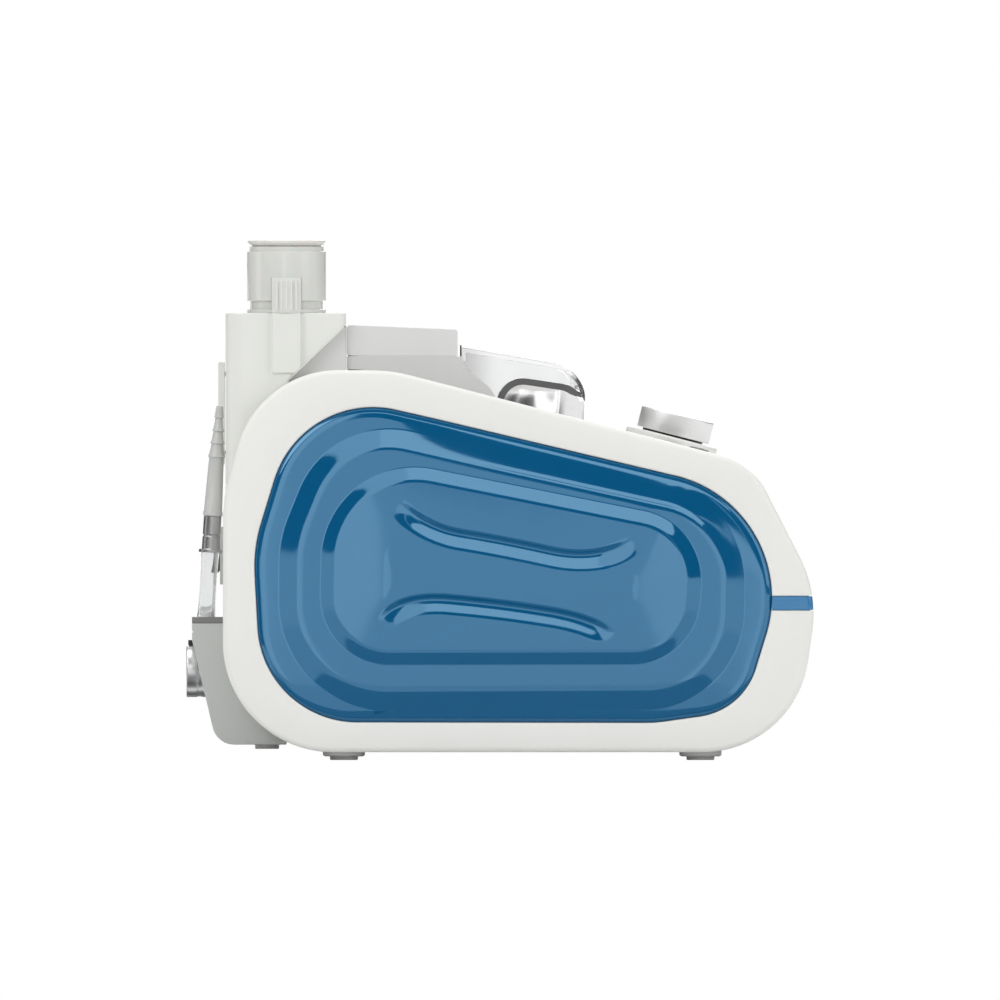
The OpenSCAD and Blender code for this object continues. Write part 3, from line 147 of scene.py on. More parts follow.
for name, power, sideways, up in CARDS:
    cloth, tree, _ = new_material(name)
    tree.nodes.clear()
    glow = tree.nodes.new("ShaderNodeEmission")
    set_sockets(glow, Strength=power)
    tree.links.new(glow.outputs[0], tree.nodes.new("ShaderNodeOutputMaterial").inputs["Surface"])
    turn, rise = math.radians(sum(sideways) / 2), math.radians(sum(up) / 2)
    width, height = (2 * CARD_AWAY * math.tan(math.radians(abs(b - a) / 2)) for a, b in (sideways, up))
    for front in (-1, 1):
        place = Vector((math.sin(turn) * math.cos(rise), front * math.cos(turn) * math.cos(rise),
                        math.sin(rise)))
        bpy.ops.object.select_all(action="DESELECT")
        bpy.ops.mesh.primitive_plane_add(size=1, location=place * CARD_AWAY + Vector(AIM))
        card = bpy.context.object
        card.name = f"{name}_{'before' if front < 0 else 'behind'}"
        card.scale = (width, height, 1)
        card.rotation_euler = look_from(card.location, AIM)
        card.data.materials.append(cloth)
        card.visible_camera = card.visible_diffuse = card.visible_transmission = card.visible_shadow = False

# Side frames: the two broad white rings that carry the panels, injection moulded in ABS with a fine texture.
# Each is a hollow moulding with a rolled outer edge and a ledge inside its window, screwed on from within.
SIDE = ((-72.5, 128, 47.5), (-57.3, 108.1, 67.2), (91.3, 106, 32.2), (83.6, 65.4, 57.6), (91.3, 51.5, 48),
        (-74.9, 53.2, 49.7))
PANEL = ((-57.1, 112.3, 46.5), (66.1, 73.1, 56.4), (85.7, 50.1, 30.9), (-64.1, 61.9, 45), (-42.4, 86.9, 68))
INNER_Y, FACE_Y = 60, 86
AROUND, FINE_AROUND, SMOOTH = 420, 720, 32


def belt(circles, inset=0.0, count=AROUND):
    """Evenly spaced points on the belt line round circles of x, z and radius, drawn inwards by inset"""
    line = []
    for k in range(FINE_AROUND):
        a = math.tau * k / FINE_AROUND
        x, z, r = max(circles, key=lambda c: c[0] * math.cos(a) + c[1] * math.sin(a) + c[2])
        line.append(Vector((x + (r - inset) * math.cos(a), z + (r - inset) * math.sin(a))))
    after = line[1:] + line[:1]
    spans = [max((q - p).length, 1e-9) for p, q in zip(line, after)]
    pitch, k, run, points = sum(spans) / count, 0, 0.0, []
    for i in range(count):
        while run + spans[k] < i * pitch:
            run += spans[k]
            k += 1
        points.append(line[k].lerp(after[k], (i * pitch - run) / spans[k]))
    return points


def side_ring(circles, inset, y):
    """A belt line stood up in the side plane, y millimetres from the middle"""
    return [(p.x * MM, y * MM, p.y * MM) for p in belt(circles, inset)]


def tidy_shape(piece, smooth):
    """Turns every face outwards, leaves edit mode and smooths all but the corners"""
    bpy.ops.mesh.select_all(action="SELECT")
    bpy.ops.mesh.normals_make_consistent(inside=False)
    bpy.ops.object.mode_set(mode="OBJECT")
    bpy.ops.object.shade_smooth_by_angle(angle=math.radians(smooth))
    return piece


def skin(name, rings, ends="faced", smooth=SMOOTH):
    """A circle extruded from ring to ring. Its ends are faced, joined, or the last is pinched shut"""
    bpy.ops.object.select_all(action="DESELECT")
    bpy.ops.mesh.primitive_circle_add(vertices=len(rings[0]), radius=MM)
    piece = bpy.context.object
    piece.name = piece.data.name = name
    bpy.ops.object.mode_set(mode="EDIT")
    bpy.ops.mesh.select_mode(type="VERT")
    shape = bmesh.from_edit_mesh(piece.data)
    place = shape.verts.layers.int.new("place")
    lap = shape.verts.layers.int.new("lap")
    for i, corner in enumerate(shape.verts):
        corner[place] = i
        corner.co = rings[0][i]
    for k, ring in enumerate(rings[1:], 1):
        bpy.ops.mesh.extrude_region_move()
        shape = bmesh.from_edit_mesh(piece.data)
        place, lap = shape.verts.layers.int["place"], shape.verts.layers.int["lap"]
        for corner in shape.verts:
            if corner.select:
                corner[lap] = k
                corner.co = ring[corner[place]]
    last = len(rings) - 1
    for laps in {"faced": ((0,), (last,)), "joined": ((0, last),), "pinched": ((0,),)}[ends]:
        for corner in shape.verts:
            corner.select = corner[lap] in laps
        shape.select_flush(True)
        if ends == "joined":
            bpy.ops.mesh.bridge_edge_loops()
        else:
            bpy.ops.mesh.edge_face_add()
        shape = bmesh.from_edit_mesh(piece.data)
        lap = shape.verts.layers.int["lap"]
    if ends == "pinched":
        bpy.ops.mesh.select_all(action="SELECT")
        bpy.ops.mesh.remove_doubles(threshold=0.001 * MM)
    return tidy_shape(piece, smooth)


def cube(name, low, high):
    """A box between two corners in millimetres"""
    bpy.ops.object.select_all(action="DESELECT")
    bpy.ops.mesh.primitive_cube_add(size=1)
    piece = bpy.context.object
    piece.name = piece.data.name = name
    bpy.ops.object.mode_set(mode="EDIT")
    bpy.ops.transform.resize(value=[abs(b - a) * MM for a, b in zip(low, high)])
    bpy.ops.transform.translate(value=[(b + a) / 2 * MM for a, b in zip(low, high)])
    bpy.ops.object.mode_set(mode="OBJECT")
    return piece


def select_only(piece):
    """Makes a piece the only one selected, and the active one"""
    bpy.ops.object.select_all(action="DESELECT")
    piece.select_set(True)
    bpy.context.view_layer.objects.active = piece


def apply_all(piece):
    """Applies every modifier of a piece"""
    select_only(piece)
    for modifier in list(piece.modifiers):
        bpy.ops.object.modifier_apply(modifier=modifier.name)
    return piece


def carve(piece, tool, operation="DIFFERENCE"):
    """Cuts a piece with a tool, which is used up"""
    cut = piece.modifiers.new("cut", "BOOLEAN")
    cut.operation = operation
    cut.solver = "EXACT"
    cut.object = tool
    apply_all(piece)
    bpy.data.objects.remove(tool)
    return piece


def dress(piece, material, slot, *stood_for, body="housing"):
    """Gives a finished piece its material, joins it to its body, and hides the CAD nodes it stands for"""
    piece.data.materials.clear()
    piece.data.materials.append(material)
    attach(piece, body)
    if stood_for:
        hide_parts(*stood_for)
    return piece


def new_group(name, inputs, outputs):
    """An empty shader node group with its sockets"""
    group = bpy.data.node_groups.new(name, "ShaderNodeTree")
    for label, kind, value in inputs:
        group.interface.new_socket(label, in_out="INPUT", socket_type=kind).default_value = value
    for label, kind in outputs:
        group.interface.new_socket(label, in_out="OUTPUT", socket_type=kind)
    return group, group.nodes.new("NodeGroupInput"), group.nodes.new("NodeGroupOutput")


def noise(tree, place, scale, detail, stretch=None):
    """Noise on object coordinates, drawn out along an axis where stretch is given"""
    grain = tree.nodes.new("ShaderNodeTexNoise")
    put(tree, scale, grain.inputs["Scale"])
    set_sockets(grain, Detail=detail)
    if stretch:
        turned = tree.nodes.new("ShaderNodeMapping")
        set_sockets(turned, Scale=stretch)
        tree.links.new(place, turned.inputs["Vector"])
        place = turned.outputs[0]
    tree.links.new(place, grain.inputs["Vector"])
    return grain.outputs["Fac"]


def blend(tree, factor, first, second):
    """A mix of two colours, each a socket or a value"""
    mix = tree.nodes.new("ShaderNodeMix")
    mix.data_type = "RGBA"
    for label, value in (("Factor", factor), ("A", first), ("B", second)):
        put(tree, value, mix.inputs[label])
    return mix.outputs["Result"]


def cover_with(tree, shader, tone, rough, height, strength, relief):
    """Gives a shader its colour, its roughness, and a texture that stands out by relief in millimetres"""
    bump = tree.nodes.new("ShaderNodeBump")
    set_sockets(bump, Strength=strength, Distance=relief * MM)
    tree.links.new(height, bump.inputs["Height"])
    for value, label in ((tone, "Base Color"), (rough, "Roughness"), (bump.outputs[0], "Normal")):
        put(tree, value, shader.inputs[label])
    return bump


def spot_of(tree):
    """The place on a piece, in its own coordinates"""
    return tree.nodes.new("ShaderNodeTexCoord").outputs["Object"]


# moulded: the skin of a moulding, with slow changes of tone, flow marks, fine texture and settled dust
moulded, skin_in, skin_out = new_group(
    "moulded",
    (("Colour", "NodeSocketColor", (0.8, 0.8, 0.8, 1)), ("Tone", "NodeSocketFloat", 0.03),
     ("Grain", "NodeSocketFloat", 900.0), ("Rough", "NodeSocketFloat", 0.4),
     ("Dust", "NodeSocketFloat", 0.05)),
    (("Colour", "NodeSocketColor"), ("Roughness", "NodeSocketFloat"), ("Height", "NodeSocketFloat")))
spot = spot_of(moulded)
slow = noise(moulded, spot, 16, 3)
flow = noise(moulded, spot, 60, 4, (1, 1, 0.25))
fine = noise(moulded, spot, skin_in.outputs["Grain"], 2)
shift = math_node(moulded, "SUBTRACT", math_node(moulded, "MULTIPLY_ADD", flow, 0.4, slow), 0.7)
shade = math_node(moulded, "MULTIPLY_ADD", shift, skin_in.outputs["Tone"], 1.0)
toned = moulded.nodes.new("ShaderNodeVectorMath")
toned.operation = "SCALE"
moulded.links.new(skin_in.outputs["Colour"], toned.inputs[0])
moulded.links.new(shade, toned.inputs["Scale"])
facing = moulded.nodes.new("ShaderNodeSeparateXYZ")
moulded.links.new(moulded.nodes.new("ShaderNodeNewGeometry").outputs["Normal"], facing.inputs[0])
level_up = math_node(moulded, "POWER", math_node(moulded, "MAXIMUM", facing.outputs["Z"], 0.0), 4.0)
specks = ramp(moulded, noise(moulded, spot, 420, 5), From_Min=0.5, From_Max=0.75)
specks_up = math_node(moulded, "MULTIPLY", level_up, specks)
settled = math_node(moulded, "MULTIPLY", specks_up, skin_in.outputs["Dust"])
DUST_GREY = (0.62, 0.6, 0.56, 1)
moulded.links.new(blend(moulded, settled, toned.outputs[0], DUST_GREY), skin_out.inputs["Colour"])
mottle = math_node(moulded, "SUBTRACT", slow, 0.5)
uneven = math_node(moulded, "MULTIPLY_ADD", mottle, 0.16, skin_in.outputs["Rough"])
moulded.links.new(math_node(moulded, "MULTIPLY_ADD", settled, 0.5, uneven), skin_out.inputs["Roughness"])
moulded.links.new(fine, skin_out.inputs["Height"])


def plastic(name, colour, rough, tone=0.05, grain=900.0, relief=0.04, dust=0.04, **extra):
    """A material of one moulded plastic. relief is the depth of its texture in millimetres"""
    material, tree, shader = new_material(name)
    cover = tree.nodes.new("ShaderNodeGroup")
    cover.node_tree = moulded
    set_sockets(cover, Colour=(*colour, 1), Tone=tone, Grain=grain, Rough=rough, Dust=dust)
    looks = [cover.outputs[label] for label in ("Colour", "Roughness", "Height")]
    cover_with(tree, shader, *looks, 0.6, relief)
    set_sockets(shader, **extra)
    return material


shell_white = plastic("shell_white", (0.845, 0.845, 0.815), 0.36)
EDGE_R, LIP_R, LEDGE, SEAT, WALL = 2.5, 0.8, 8, 5, 2.5
QUARTER = [math.radians(90 * k / 5) for k in range(6)]
ROLLED = [(EDGE_R * (1 - math.cos(t)), FACE_Y - EDGE_R * (1 - math.sin(t))) for t in QUARTER]
GROOVE_X, GROOVE_Z, GROOVE_D, NOSE_X, BEYOND = 121.9, (67.2, 74.0), 1.6, 139.2, 160
HANDS = (("right", -1), ("left", 1))
for body_side, hand in HANDS:
    lines = [(SIDE, 0, y) for y in (INNER_Y, 66, 75)] + [(SIDE, inset, y) for inset, y in ROLLED]
    lines += [(PANEL, -LIP_R * (1 - math.sin(t)), FACE_Y - LIP_R * (1 - math.cos(t))) for t in QUARTER]
    lines += [(circles, inset, FACE_Y - deep) for circles, inset, deep in (
        (PANEL, 0, SEAT), (PANEL, LEDGE, SEAT), (PANEL, LEDGE, SEAT + WALL), (PANEL, -WALL, SEAT + WALL),
        (PANEL, -WALL, WALL), (SIDE, WALL, WALL), (SIDE, WALL, FACE_Y - INNER_Y))]
    ring = skin(f"{body_side}_frame_ring", [side_ring(c, t, hand * y) for c, t, y in lines], ends="joined")
    for part, start, inner in (("side", GROOVE_X, FACE_Y - GROOVE_D), ("nose", NOSE_X, INNER_Y - 1)):
        carve(ring, cube(f"groove_{part}", (start, hand * inner, GROOVE_Z[0]),
                         (BEYOND, hand * (FACE_Y + 2), GROOVE_Z[1])))
    dress(ring, shell_white, "shell_white", f"{body_side}_side_frame")

# Side panels: deep blue polycarbonate, polished and clear-coated, snapped into the windows of the frames.
# Two long steps rise to a crowned middle, and two finger channels are pressed across it.
STEP_ONE = ((-40.5, 87.9, 50.7), (-49.5, 104.8, 36), (67, 80.2, 35.1), (65.6, 67.3, 36.2), (-50.4, 71.4, 40.9))
STEP_TWO = ((-38.1, 89.5, 36.8), (58.7, 80.8, 26.5), (59.4, 73.7, 25.3), (-49.4, 74, 25.8))
MIDDLE_LINE = (Vector((-46, 81)), Vector((59, 77)))
UPPER_CHANNEL = ((-47, 117.5), (-34, 104), (0, 98.6), (46, 88.5), (62, 100.5))
LOWER_CHANNEL = ((-55, 61), (-46, 74), (0, 70), (44, 62.8), (51, 55))
CHANNEL_DEPTH, CHANNEL_STEEP, CHANNEL_GENTLE, CHANNEL_REACH, CHANNEL_FADE = 0.95, 2.9, 7.4, 13, 0.16
# For each outline: inset, height over the frame's face, and the height on the long shoulder above the nose
STEPS = (
    (PANEL, ((9, -5, -5), (0.15, -5, -5), (0.15, -1.5, -1.5), (0.3, -1.2, -1.2), (1, -0.72, -0.72),
             (1.7, -0.3, -0.34), (2.2, -0.08, -0.17), (2.7, 0, -0.07), (5, 0.05, 0.16))),
    (STEP_ONE, ((-8.6, 0.08, 0.26), (-8, 0.09, 0.31), (-7.9, 0.105, 0.32), (-6, 0.4, 0.47), (-4, 0.74, 0.66),
                (-2, 1.08, 0.86), (-0.9, 1.26, 1.02), (-0.2, 1.35, 1.2), (0.3, 1.4, 1.34), (1.2, 1.44, 1.43),
                (3.5, 1.46, 1.46))),
    (STEP_TWO, ((-6, 1.47, 1.47), (-5.4, 1.47, 1.47), (-5.3, 1.485, 1.485), (-3, 1.88, 1.88),
                (-1.4, 2.18, 2.18), (-0.5, 2.34, 2.34), (0, 2.42, 2.42), (0.5, 2.47, 2.47))))
SOLE_START, SOLE_FALL = 38, 0.0032
PLATEAU, CROWN, PLATEAU_PITCH, PLATEAU_RINGS, MIDDLE_RINGS, MIDDLE_SPOTS = 2.5, 3.2, 0.5, 45, 26, 50
SHOULDER = (Vector((0.249, 0.9685)), 108, 14, -78, 90)


def spline(points, steps=40):
    """Points along a quadratic B-spline with its ends on the first and last point"""
    points = [Vector(p) for p in points]
    spans, run = len(points) - 2, []
    for i in range(steps * spans + 1):
        t = i / steps
        k = min(int(t), spans - 1)
        u = t - k
        a = points[0] if k == 0 else (points[k] + points[k + 1]) / 2
        b = points[-1] if k == spans - 1 else (points[k + 1] + points[k + 2]) / 2
        run.append((1 - u) ** 2 * a + 2 * u * (1 - u) * points[k + 1] + u * u * b)
    return run


def ease(t):
    """Smooth step from 0 to 1"""
    t = min(max(t, 0.0), 1.0)
    return t * t * (3 - 2 * t)


def channel_drop(point, run):
    """Depth of a finger channel at a point: a steep wall above its line and a gentle one below"""
    if min((point - q).length for q in run[::10]) > CHANNEL_REACH:
        return 0
    gap, along, turn = 1e9, 0, 1
    for k, (a, b) in enumerate(zip(run, run[1:])):
        span = b - a
        t = min(max((point - a).dot(span) / span.length_squared, 0), 1)
        off = point - a.lerp(b, t)
        if off.length < gap:
            gap, along, turn = off.length, k + t, span.x * off.y - span.y * off.x
    share = ease(1 - gap / (CHANNEL_STEEP if turn > 0 else CHANNEL_GENTLE))
    return CHANNEL_DEPTH * share * ease(min(along, len(run) - 1 - along) / (len(run) * CHANNEL_FADE))


def middle_ring(share):
    """The innermost outline drawn towards the middle line, on which both sides share their points"""
    a, b = MIDDLE_LINE
    drawn = []
    for p in belt(STEP_TWO, PLATEAU_PITCH * (PLATEAU_RINGS + 1)):
        t = min(max((p - a).dot(b - a) / (b - a).length_squared, 0), 1)
        drawn.append(p.lerp(a.lerp(b, round(t * MIDDLE_SPOTS) / MIDDLE_SPOTS), share))
    return drawn


def on_shoulder(point):
    """How far a point lies on the panel's long upper shoulder, from 0 to 1"""
    up, start, width, rear, length = SHOULDER
    return ease((point.dot(up) - start) / width) * ease((point.x - rear) / length)


def sole_fall(point):
    """How far the panel's lower part is bowed back at a point"""
    return SOLE_FALL * max(SOLE_START - point.y, 0) ** 2


panel_blue = plastic("panel_blue", (0.001, 0.1, 0.25), 0.05, tone=0.03, grain=260, relief=0.002, dust=0.01,
                     IOR=2.4, Specular_Tint=(0.4, 0.7, 0.9, 1))
channels = [spline(UPPER_CHANNEL), spline(LOWER_CHANNEL)]
outlines = []
for circles, rows in STEPS:
    for inset, low, high in rows:
        line = belt(circles, inset)
        outlines.append((line, [low + (high - low) * on_shoulder(p) - sole_fall(p) for p in line]))
for k in range(PLATEAU_RINGS + MIDDLE_RINGS):
    level = PLATEAU + (CROWN - PLATEAU) * math.sin(math.pi / 2 * (k + 1) / (PLATEAU_RINGS + MIDDLE_RINGS))
    if k < PLATEAU_RINGS:
        line = belt(STEP_TWO, PLATEAU_PITCH * (k + 2))
    else:
        line = middle_ring((k - PLATEAU_RINGS + 1) / MIDDLE_RINGS)
    heights = [level - sole_fall(p) - max(channel_drop(p, run) for run in channels) for p in line]
    outlines.append((line, heights))
for body_side, hand in HANDS:
    rings = [[(p.x * MM, hand * (FACE_Y + h) * MM, p.y * MM) for p, h in zip(line, heights)]
             for line, heights in outlines]
    face = skin(f"{body_side}_panel_skin", rings, ends="pinched", smooth=50)
    dress(face, panel_blue, "panel_blue", f"{body_side}_side_panel")

# Light bar: a strip of the same blue, let into a groove round the nose, with a row of lamps behind it.
# It is moulded in one piece that wraps from one frame to the other, and sits flush in its groove.
BAR_X, BAR_Z, BAR_BACK = 122.5, (67.5, 73.7), 139.35
lines = [(SIDE, inset, -y) for inset, y in reversed(ROLLED)] + [(SIDE, inset, y) for inset, y in ROLLED]
bar = skin("nose_light_bar", [side_ring(c, t, y) for c, t, y in lines])
carve(bar, cube("bar_bounds", (BAR_X, -90, BAR_Z[0]), (BEYOND, 90, BAR_Z[1])), "INTERSECT")
carve(bar, cube("bar_back", (BAR_X - 1, GROOVE_D - FACE_Y, 60), (BAR_BACK, FACE_Y - GROOVE_D, 80)))


def settle(piece):
    """Applies what a piece carries and smooths all but its corners, with flat faces kept flat"""
    apply_all(piece)
    bpy.ops.object.shade_smooth_by_angle(angle=math.radians(SMOOTH))
    piece.modifiers.new("even", "WEIGHTED_NORMAL").keep_sharp = True
    return apply_all(piece)


def join_faces(piece):
    """Joins the loose triangles of a piece into flat faces"""
    select_only(piece)
    bpy.ops.object.mode_set(mode="EDIT")
    bpy.ops.mesh.select_all(action="SELECT")
    bpy.ops.mesh.remove_doubles(threshold=0.002 * MM)
    bpy.ops.mesh.dissolve_limited(angle_limit=math.radians(0.4))
    bpy.ops.object.mode_set(mode="OBJECT")
    return piece


def soften(piece, width, segments=2, angle=40):
    """Rounds the edges of a piece that are sharper than angle"""
    edge = join_faces(piece).modifiers.new("edge", "BEVEL")
    edge.width = width * MM
    edge.segments = segments
    edge.limit_method = "ANGLE"
    edge.angle_limit = math.radians(angle)
    edge.use_clamp_overlap = False
    return settle(piece)


light_blue = plastic("light_blue", (0.03, 0.2, 0.42), 0.16, tone=0.03, grain=500, relief=0.004, dust=0.0,
                     Transmission_Weight=0.15, Coat_Weight=0.4, Emission_Color=(0.02, 0.16, 0.4, 1),
                     Emission_Strength=0.12)
dress(soften(bar, 0.25, 2, 50), light_blue, "light_blue", "light_bar")

# Centre housing: the white tub between the frames, with the chamber's well and the console's recess on top.
# One ABS moulding with the same texture as the frames. Its edges are eased where the mould halves met.


def copy_of(node, name):
    """A new piece from a CAD node's shape, with its loose triangles joined"""
    piece = bpy.data.objects.new(name, nodes[node].data.copy())
    scene.collection.objects.link(piece)
    piece.data.name = name
    return join_faces(piece)


def from_cad(node, name, material, slot, width, segments=2, angle=40, body="housing"):
    """A CAD node's shape with rounded edges, dressed to stand for the node"""
    return dress(soften(copy_of(node, name), width, segments, angle), material, slot, node, body=body)


from_cad("main_housing", "centre_housing", shell_white, "shell_white", 0.5, 3, 45)

# Outlet tower: a hollow white moulding on the back wall, raked back at the front, under the breathing port.
# It carries the blended gas up from the chamber. A round rib swells from its right side under the port.
tower_white = plastic("tower_white", (0.79, 0.8, 0.765), 0.33, tone=0.06, relief=0.03)
from_cad("outlet_tower", "tower_shell", tower_white, "shell_white", 0.7, 3, 45)

# Hood: a grey satin cover that fills the corner between the tower's raked face and the filler lid.
# It is moulded in ABS and pushed onto the tower. Its front lip stands up behind the lid's rear edge.
hood = copy_of("elbow_hood", "elbow_cover")
carve(hood, cube("hood_lip", (-70, -52, 150), (-69, 52, 195.5)), "UNION")
grey_plastic = plastic("grey_plastic", (0.7, 0.705, 0.7), 0.36, tone=0.07, relief=0.03, dust=0.06)
dress(soften(hood, 0.25), grey_plastic, "smoke_plastic", "elbow_hood")

# Breathing port: an outer collar of grey-white plastic, turned, with a snap groove under its rim.
# Inside sit the 22 mm sleeve and a black sealing ring, and a ribbed contact tab lies in a slot of the collar.
PORT_X, PORT_Y, PORT_Z = -96, -41, 201.2
PORT = Matrix.Translation((PORT_X, PORT_Y, PORT_Z))
TAB_HALF, TAB_GAP, SLOT_Y, SLOT_Z = 6.5, 0.45, (-60, -57.2), (203.4, 217.4)


def turned(name, profile, place, ends="joined", segments=96, smooth=SMOOTH):
    """A lathed piece: a profile of radius and height in millimetres, swept round the Z axis of its place"""
    rings = []
    for radius, height in profile:
        spots = (place @ Vector((radius * math.cos(math.tau * k / segments),
                                 radius * math.sin(math.tau * k / segments), height)) for k in range(segments))
        rings.append([spot * MM for spot in spots])
    return skin(name, rings, ends, smooth)


def bow(x, y, radius, start, stop, steps=5):
    """Points on an arc of a profile, its angles in degrees"""
    angles = [math.radians(start + (stop - start) * k / steps) for k in range(steps + 1)]
    return [(x + radius * math.cos(a), y + radius * math.sin(a)) for a in angles]


COLLAR = [(13, 0), (17.6, 0), (17.75, 0.15), (17.75, 1.4), (17.6, 1.55), (16.5, 1.65), (16.35, 1.8),
          (16.35, 5.2), (16.5, 5.35), (17.55, 5.45), (17.75, 5.7), *bow(17.45, 27.3, 0.3, 0, 90),
          (16.85, 27.65), (16.75, 27.8), (16.75, 29.8), (15.6, 29.85), (15.6, 30.5), (16.75, 30.55),
          (16.8, 31.15), (17.4, 31.2), *bow(17.15, 32.2, 0.4, 0, 90), *bow(14.95, 32.2, 0.4, 90, 180),
          (14.55, 3), (13, 3)]
SLEEVE = [(11.5, -11), (12.7, -11), (13, -10.7), *bow(12.4, 30, 0.6, 0, 90), *bow(11.6, 30, 0.6, 90, 180),
          (11, -10.5)]
collar = turned("port_outer_collar", COLLAR, PORT)
for side in (-1, 1):
    carve(collar, cube("tab_slot", (PORT_X + side * TAB_HALF, SLOT_Y[0], SLOT_Z[0]),
                       (PORT_X + side * (TAB_HALF + TAB_GAP), SLOT_Y[1], SLOT_Z[1])))
grey_white = plastic("port_plastic", (0.69, 0.7, 0.67), 0.22, tone=0.1, grain=300, relief=0.006, dust=0.03,
                     Coat_Weight=0.25, Subsurface_Weight=0.15, Subsurface_Scale=0.004)
dress(collar, grey_white, "smoke_plastic", "port_collar")
dress(turned("port_inner_sleeve", SLEEVE, PORT), grey_white, "smoke_plastic", "port_sleeve")
rubber = plastic("black_rubber", (0.022, 0.023, 0.025), 0.52, tone=0.25, grain=1400, relief=0.02, dust=0.12)
dress(turned("port_o_ring", bow(13.775, 3.76, 0.75, 0, 345, 23), PORT), rubber, "rubber", "port_seal")
tab_white = plastic("tab_plastic", (0.75, 0.755, 0.735), 0.3, tone=0.06, grain=500, relief=0.006,
                    Coat_Weight=0.1)
from_cad("contact_tab", "port_ribbed_tab", tab_white, "smoke_plastic", 0.12, 2, 35)

# Water chamber: one clear polycarbonate tank, its rear smoked grey as far as the lid, on a black seal.
# The seal runs on as an edging round the finger grip. Below it shows the drawn and polished metal pan.
SHROUD_EDGE = ((-17.4, 190), (-17.4, 180.6), (-13.8, 174.2), (-4.5, 168), (-1.5, 162.5), (-1.2, 156),
               (-1.2, 118))
RAIL_Z = (175.8, 181.55)
REAR_RAILS = (((-68.85, -49.9), (-67, 49.9)), ((-67.1, -49.97), (-60, -42)), ((-67.1, 42), (-60, 49.97)))


def side_slab(name, outline, low, high):
    """A plate from an outline of x and z, between two distances from the middle plane"""
    return skin(name, [[(x * MM, y * MM, z * MM) for x, z in outline] for y in (low, high)])


def smoked_part(name):
    """The space that the smoked rear of the tank fills"""
    front = [(p.x, p.y) for p in spline(SHROUD_EDGE, 8)]
    return side_slab(name, front + [(-75, 118), (-75, 198), (-17.4, 198)], -60, 60)


shroud = soften(copy_of("chamber_tank", "tank_smoked_rear"), 0.3, 2, 50)
carve(shroud, smoked_part("rear_space"), "INTERSECT")
for low, high in REAR_RAILS:
    carve(shroud, cube("rear_rail", (*low, RAIL_Z[0]), (*high, RAIL_Z[1])), "UNION")
settle(shroud)
smoke = plastic("smoke_plastic", (0.62, 0.625, 0.62), 0.36, tone=0.1, grain=350, relief=0.008, dust=0.05)
dress(shroud, smoke, "smoke_plastic", "chamber_tank", body="chamber")
bonnet = soften(copy_of("chamber_tank", "tank_clear_bonnet"), 0.3, 2, 50)
settle(carve(bonnet, smoked_part("rear_space")))
lid_gasket = carve(cube("lid_flat_gasket", (-68, -49.8, 181.5), (-19.4, 49.8, 181.82)),
                   cube("gasket_hole", (-53, -37, 181), (-24, 37, 182)))
dress(lid_gasket, smoke, "rubber", body="chamber")
SMOKED = (0.76, 0.765, 0.76, 1)


def see_through(name, colour, rough, clearness, bend=1.16, streak=(1, 1, 6), relief=0.004, fade=None, **extra):
    """A clear moulding with faint flow marks. fade is the x where it begins to turn clear, and is clear"""
    material, tree, shader = new_material(name)
    spot = spot_of(tree)
    marks = noise(tree, spot, 220, 5, streak)
    tone = blend(tree, noise(tree, spot, 30, 2), (*(c * 0.93 for c in colour), 1), (*colour, 1))
    if fade:
        along = tree.nodes.new("ShaderNodeSeparateXYZ")
        tree.links.new(spot, along.inputs[0])
        share = ramp(tree, along.outputs["X"], From_Min=fade[0] * MM, From_Max=fade[1] * MM)
        share.node.interpolation_type = "SMOOTHSTEP"
        tone = blend(tree, share, SMOKED, tone)
    scuffed = math_node(tree, "MULTIPLY_ADD", marks, 0.04, rough - 0.02)
    cover_with(tree, shader, tone, scuffed, marks, 0.5, relief)
    set_sockets(shader, Transmission_Weight=clearness, IOR=bend, Metallic=0.0, **extra)
    return material


CLEAR = (0.985, 0.99, 0.99)
clear = see_through("clear_polycarbonate", CLEAR, 0.04, 0.97, Coat_Weight=0.35, Coat_Roughness=0.04)
faded_clear = see_through("smoked_to_clear", CLEAR, 0.05, 0.95, fade=(-17, 0), Coat_Weight=0.35,
                          Coat_Roughness=0.04)
dress(bonnet, faded_clear, "clear_plastic", "chamber_tank", body="chamber")
edging = soften(copy_of("chamber_seal", "tank_edging_seal"), 0.3)
SEAL_TAIL = ((31.5, 164.9), (36, 163.3), (39.5, 162.9), (40, 150), (30, 150))
settle(carve(edging, side_slab("tail", SEAL_TAIL, -60, 60)))
soft_black = plastic("soft_black", (0.085, 0.086, 0.088), 0.34, tone=0.3, grain=900, relief=0.01, dust=0.05,
                     Coat_Weight=0.35, Coat_Roughness=0.18)
dress(edging, soft_black, "rubber", "chamber_seal", body="chamber")


def metal(name, colour, rough, axis, scale=900, relief=0.006, drawn=0.02, turn=0.0, **extra):
    """A metal with fine lines along its grain: axis gives how fast they change on x, y and z"""
    material, tree, shader = new_material(name)
    spot = spot_of(tree)
    turned_spot = tree.nodes.new("ShaderNodeMapping")
    set_sockets(turned_spot, Rotation=(0, -math.radians(turn), 0))
    tree.links.new(spot, turned_spot.inputs["Vector"])
    lines = noise(tree, turned_spot.outputs[0], scale, 4, axis)
    broad = math_node(tree, "MULTIPLY", noise(tree, spot, 24, 3), 0.3)
    dark, light = ((*(min(c * share, 1) for c in colour), 1) for share in (0.9, 1.06))
    tone = blend(tree, math_node(tree, "MULTIPLY_ADD", lines, 0.7, broad), dark, light)
    brushed = math_node(tree, "MULTIPLY_ADD", lines, drawn * 4, rough - drawn * 2)
    cover_with(tree, shader, tone, brushed, lines, 0.4, relief)
    set_sockets(shader, Metallic=1.0, **extra)
    return material


